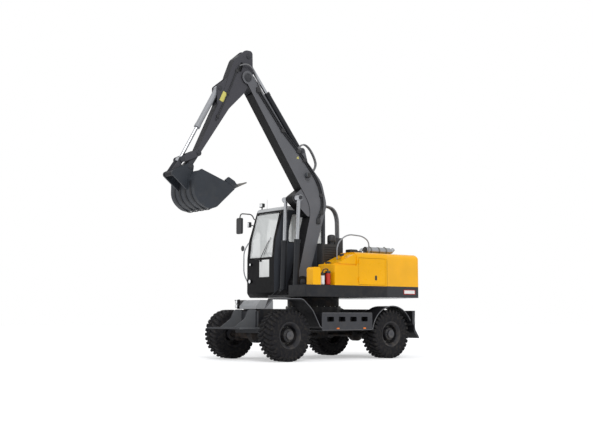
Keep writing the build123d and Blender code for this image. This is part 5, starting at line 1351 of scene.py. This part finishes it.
pipe_path = softened(PIPE_LINE, PIPE_BENDS, 8)
pipes = []
clamps = []
for side in (1, -1):
    y = BOOM_MIDDLE + side * (BOOM_SIDE - BOOM_MIDDLE + PIPE_R + 0.004)
    pipes += [tube(on_side(beside(pipe_path, offset), y), PIPE_R) for offset in (0.0, PIPE_STEP)]
    along = [int(t * (len(pipe_path) - 1)) for t in CLAMPS_AT]
    clamps += [clamp(pipe_path[k], (0.03, 0.065, 0.055, 0.02), y, side, 0.003, 0.006) for k in along]
    clamps += [clamp(pipe_path[k], (0.045, 0.05, 0.075, 0.035), y, side, 0.008, 0.012) for k in (0, -1)]
piece("boom_pipes", pipes, pipe_paint, "boom")
piece("pipe_clamps", clamps, black_plastic, "boom")

# %% [markdown]
# Steel pipes can't cross a hinge, so hoses take over there. Two make a loop on the boom's
# back, and two go from the boom's tip to the arm.

# %% Hoses along the boom and the arm
HOSE_SMALL = 0.028
LOOP_ROUTE = ((0.70, 4.452), (0.63, 4.55), (0.50, 4.58), (0.36, 4.48), (0.24, 4.30), (0.19, 4.12),
              (0.292, 4.006))
TIP_ROUTE = ((1.66, 5.48), (1.74, 5.60), (1.83, 5.82), (1.93, 6.02), (2.10, 6.10), (2.26, 6.02))
for i, y in enumerate((0.33, 0.375)):
    cord_piece("loop_hose_" + str(i + 1), LOOP_ROUTE, y, HOSE_SMALL, "boom")
for i, y in enumerate((0.10, 0.42)):
    cord_piece("tip_hose_" + str(i + 1), TIP_ROUTE, y, HOSE_SMALL, None, ("boom", "arm"))

# %% [markdown]
# On the arm the oil runs in steel again, one pipe on each side, held by three clamps.

# %% Steel pipes on the arm
ARM_SIDE = 0.104
ARM_LINE = ((2.24, 6.02), (2.33, 5.86), (2.44, 5.58), (2.60, 5.24), (2.80, 4.82))
ARM_BENDS = np.array([[0], [0.06], [0.08], [0.08], [0]])
ARM_CLAMPS = ((2.30, 5.91), (2.52, 5.41), (2.76, 4.90))
arm_line = softened(ARM_LINE, ARM_BENDS, 6)
arm_pipes = []
arm_clamps = []
for side in (1, -1):
    arm_pipes.append(tube(on_side(arm_line, BOOM_MIDDLE + side * (ARM_SIDE + PIPE_R)), PIPE_R))
    low, high = sorted(BOOM_MIDDLE + side * (ARM_SIDE + step) for step in (-0.002, 0.032))
    arm_clamps += [block((x - 0.03, low, z - 0.03), (x + 0.03, high, z + 0.03), 0.006) for x, z in ARM_CLAMPS]
piece("arm_pipes", arm_pipes, pipe_paint, "arm")
piece("arm_clamps", arm_clamps, black_plastic, "arm")

# %% [markdown]
# Two labels stay blank. The bucket's belly slides over stones, so hard strips are welded on it.
# Their outline is the belly's own line, shifted inwards on one side and outwards on the other,
# so that a strip lies on the curve everywhere.

# %% Labels and wear strips
label = plate([(2.62, 5.448), (2.51, 5.401), (2.594, 5.203), (2.715, 5.248)], 0.3636, 0.3656, "y", 0.0008)
piece("arm_label", [label], label_yellow, "arm")
small_label = plate([(0.72, 4.30), (0.70, 4.235), (0.765, 4.245)], 0.3946, 0.3964, "y", 0.0006)
piece("boom_label", [small_label], label_yellow, "boom")
BELLY = ((3.4906, 3.515), (3.495, 3.19), (3.17, 2.935), (2.972, 3.027))
BELLY_BENDS = np.array([[0], [0.1606], [0.202], [0]])
STRIP_HALF = 0.03
STRIPS_Y = (-0.3, -0.1, 0.1, 0.3)
strip_line = softened(BELLY, BELLY_BENDS, 14)
strip_outline = np.concatenate([beside(strip_line, -0.008), beside(strip_line, 0.007)[::-1]])
strips = [plate(strip_outline, BOOM_MIDDLE + y - STRIP_HALF, BOOM_MIDDLE + y + STRIP_HALF) for y in STRIPS_Y]
piece("wear_strips", strips, wear_paint, "bucket")

# %% [markdown]
# ## Floor and light
# A pale studio floor and a white world. Rays that the camera, a mirror surface or glass
# sends out see plain white, while the light on the machine stays at a level where a
# colour shows as it is written. The floor keeps the soft shadow under the wheels.

# %% Floor
FLOOR_HALF = 60.0
FLOOR_GLOW = 0.42
WHITE = (1.0, 1.0, 1.0, 1.0)
floor_mesh = bpy.data.meshes.new("floor")
floor_corners = np.array([(-1, -1, 0), (1, -1, 0), (1, 1, 0), (-1, 1, 0)]) * FLOOR_HALF
floor_mesh.from_pydata(floor_corners.tolist(), [], [(0, 1, 2, 3)])
floor = bpy.data.objects.new("floor", floor_mesh)
scene.collection.objects.link(floor)


def seen_white(tree):
    """1 for rays from the camera, a mirror or glass, else 0."""
    path = tree.nodes.new("ShaderNodeLightPath").outputs
    looked_at = math_node(tree, "MAXIMUM", path["Is Camera Ray"], path["Is Glossy Ray"])
    return math_node(tree, "MAXIMUM", looked_at, path["Is Transmission Ray"])


ground = Finish("pale floor", colour(226, 227, 229), 0.9, Specular_IOR_Level=0.0, Emission_Color=WHITE)
ground.paint(ground.times(seen_white(ground.tree), FLOOR_GLOW), "Emission Strength")
floor_mesh.materials.append(ground.material)
print("floor", FLOOR_HALF * 2, "m")

# %% World and lamps
WORLD_LIGHT = 0.62
SUNS = (
    # name, strength, softness in degrees, direction that the light travels
    ("key", 1.5, 25.0, (-0.35, -0.75, -0.62)),
    ("fill", 0.45, 50.0, (-0.85, 0.25, -0.45)),
)
world = bpy.data.worlds.new("studio")
world.use_nodes = True
scene.world = world
tree = world.node_tree
back = tree.nodes["Background"]
back.inputs["Color"].default_value = WHITE
extra = math_node(tree, "MULTIPLY", seen_white(tree), 1.0 - WORLD_LIGHT)
tree.links.new(math_node(tree, "ADD", extra, WORLD_LIGHT), back.inputs["Strength"])
for name, strength, softness, way in SUNS:
    data = bpy.data.lights.new(name, "SUN")
    data.energy = strength
    data.angle = np.radians(softness)
    lamp = bpy.data.objects.new(name, data)
    lamp.rotation_euler = Vector(way).to_track_quat("-Z", "Y").to_euler()
    scene.collection.objects.link(lamp)
scene.view_settings.view_transform = "Standard"
print("lamps:", [row[0] for row in SUNS])
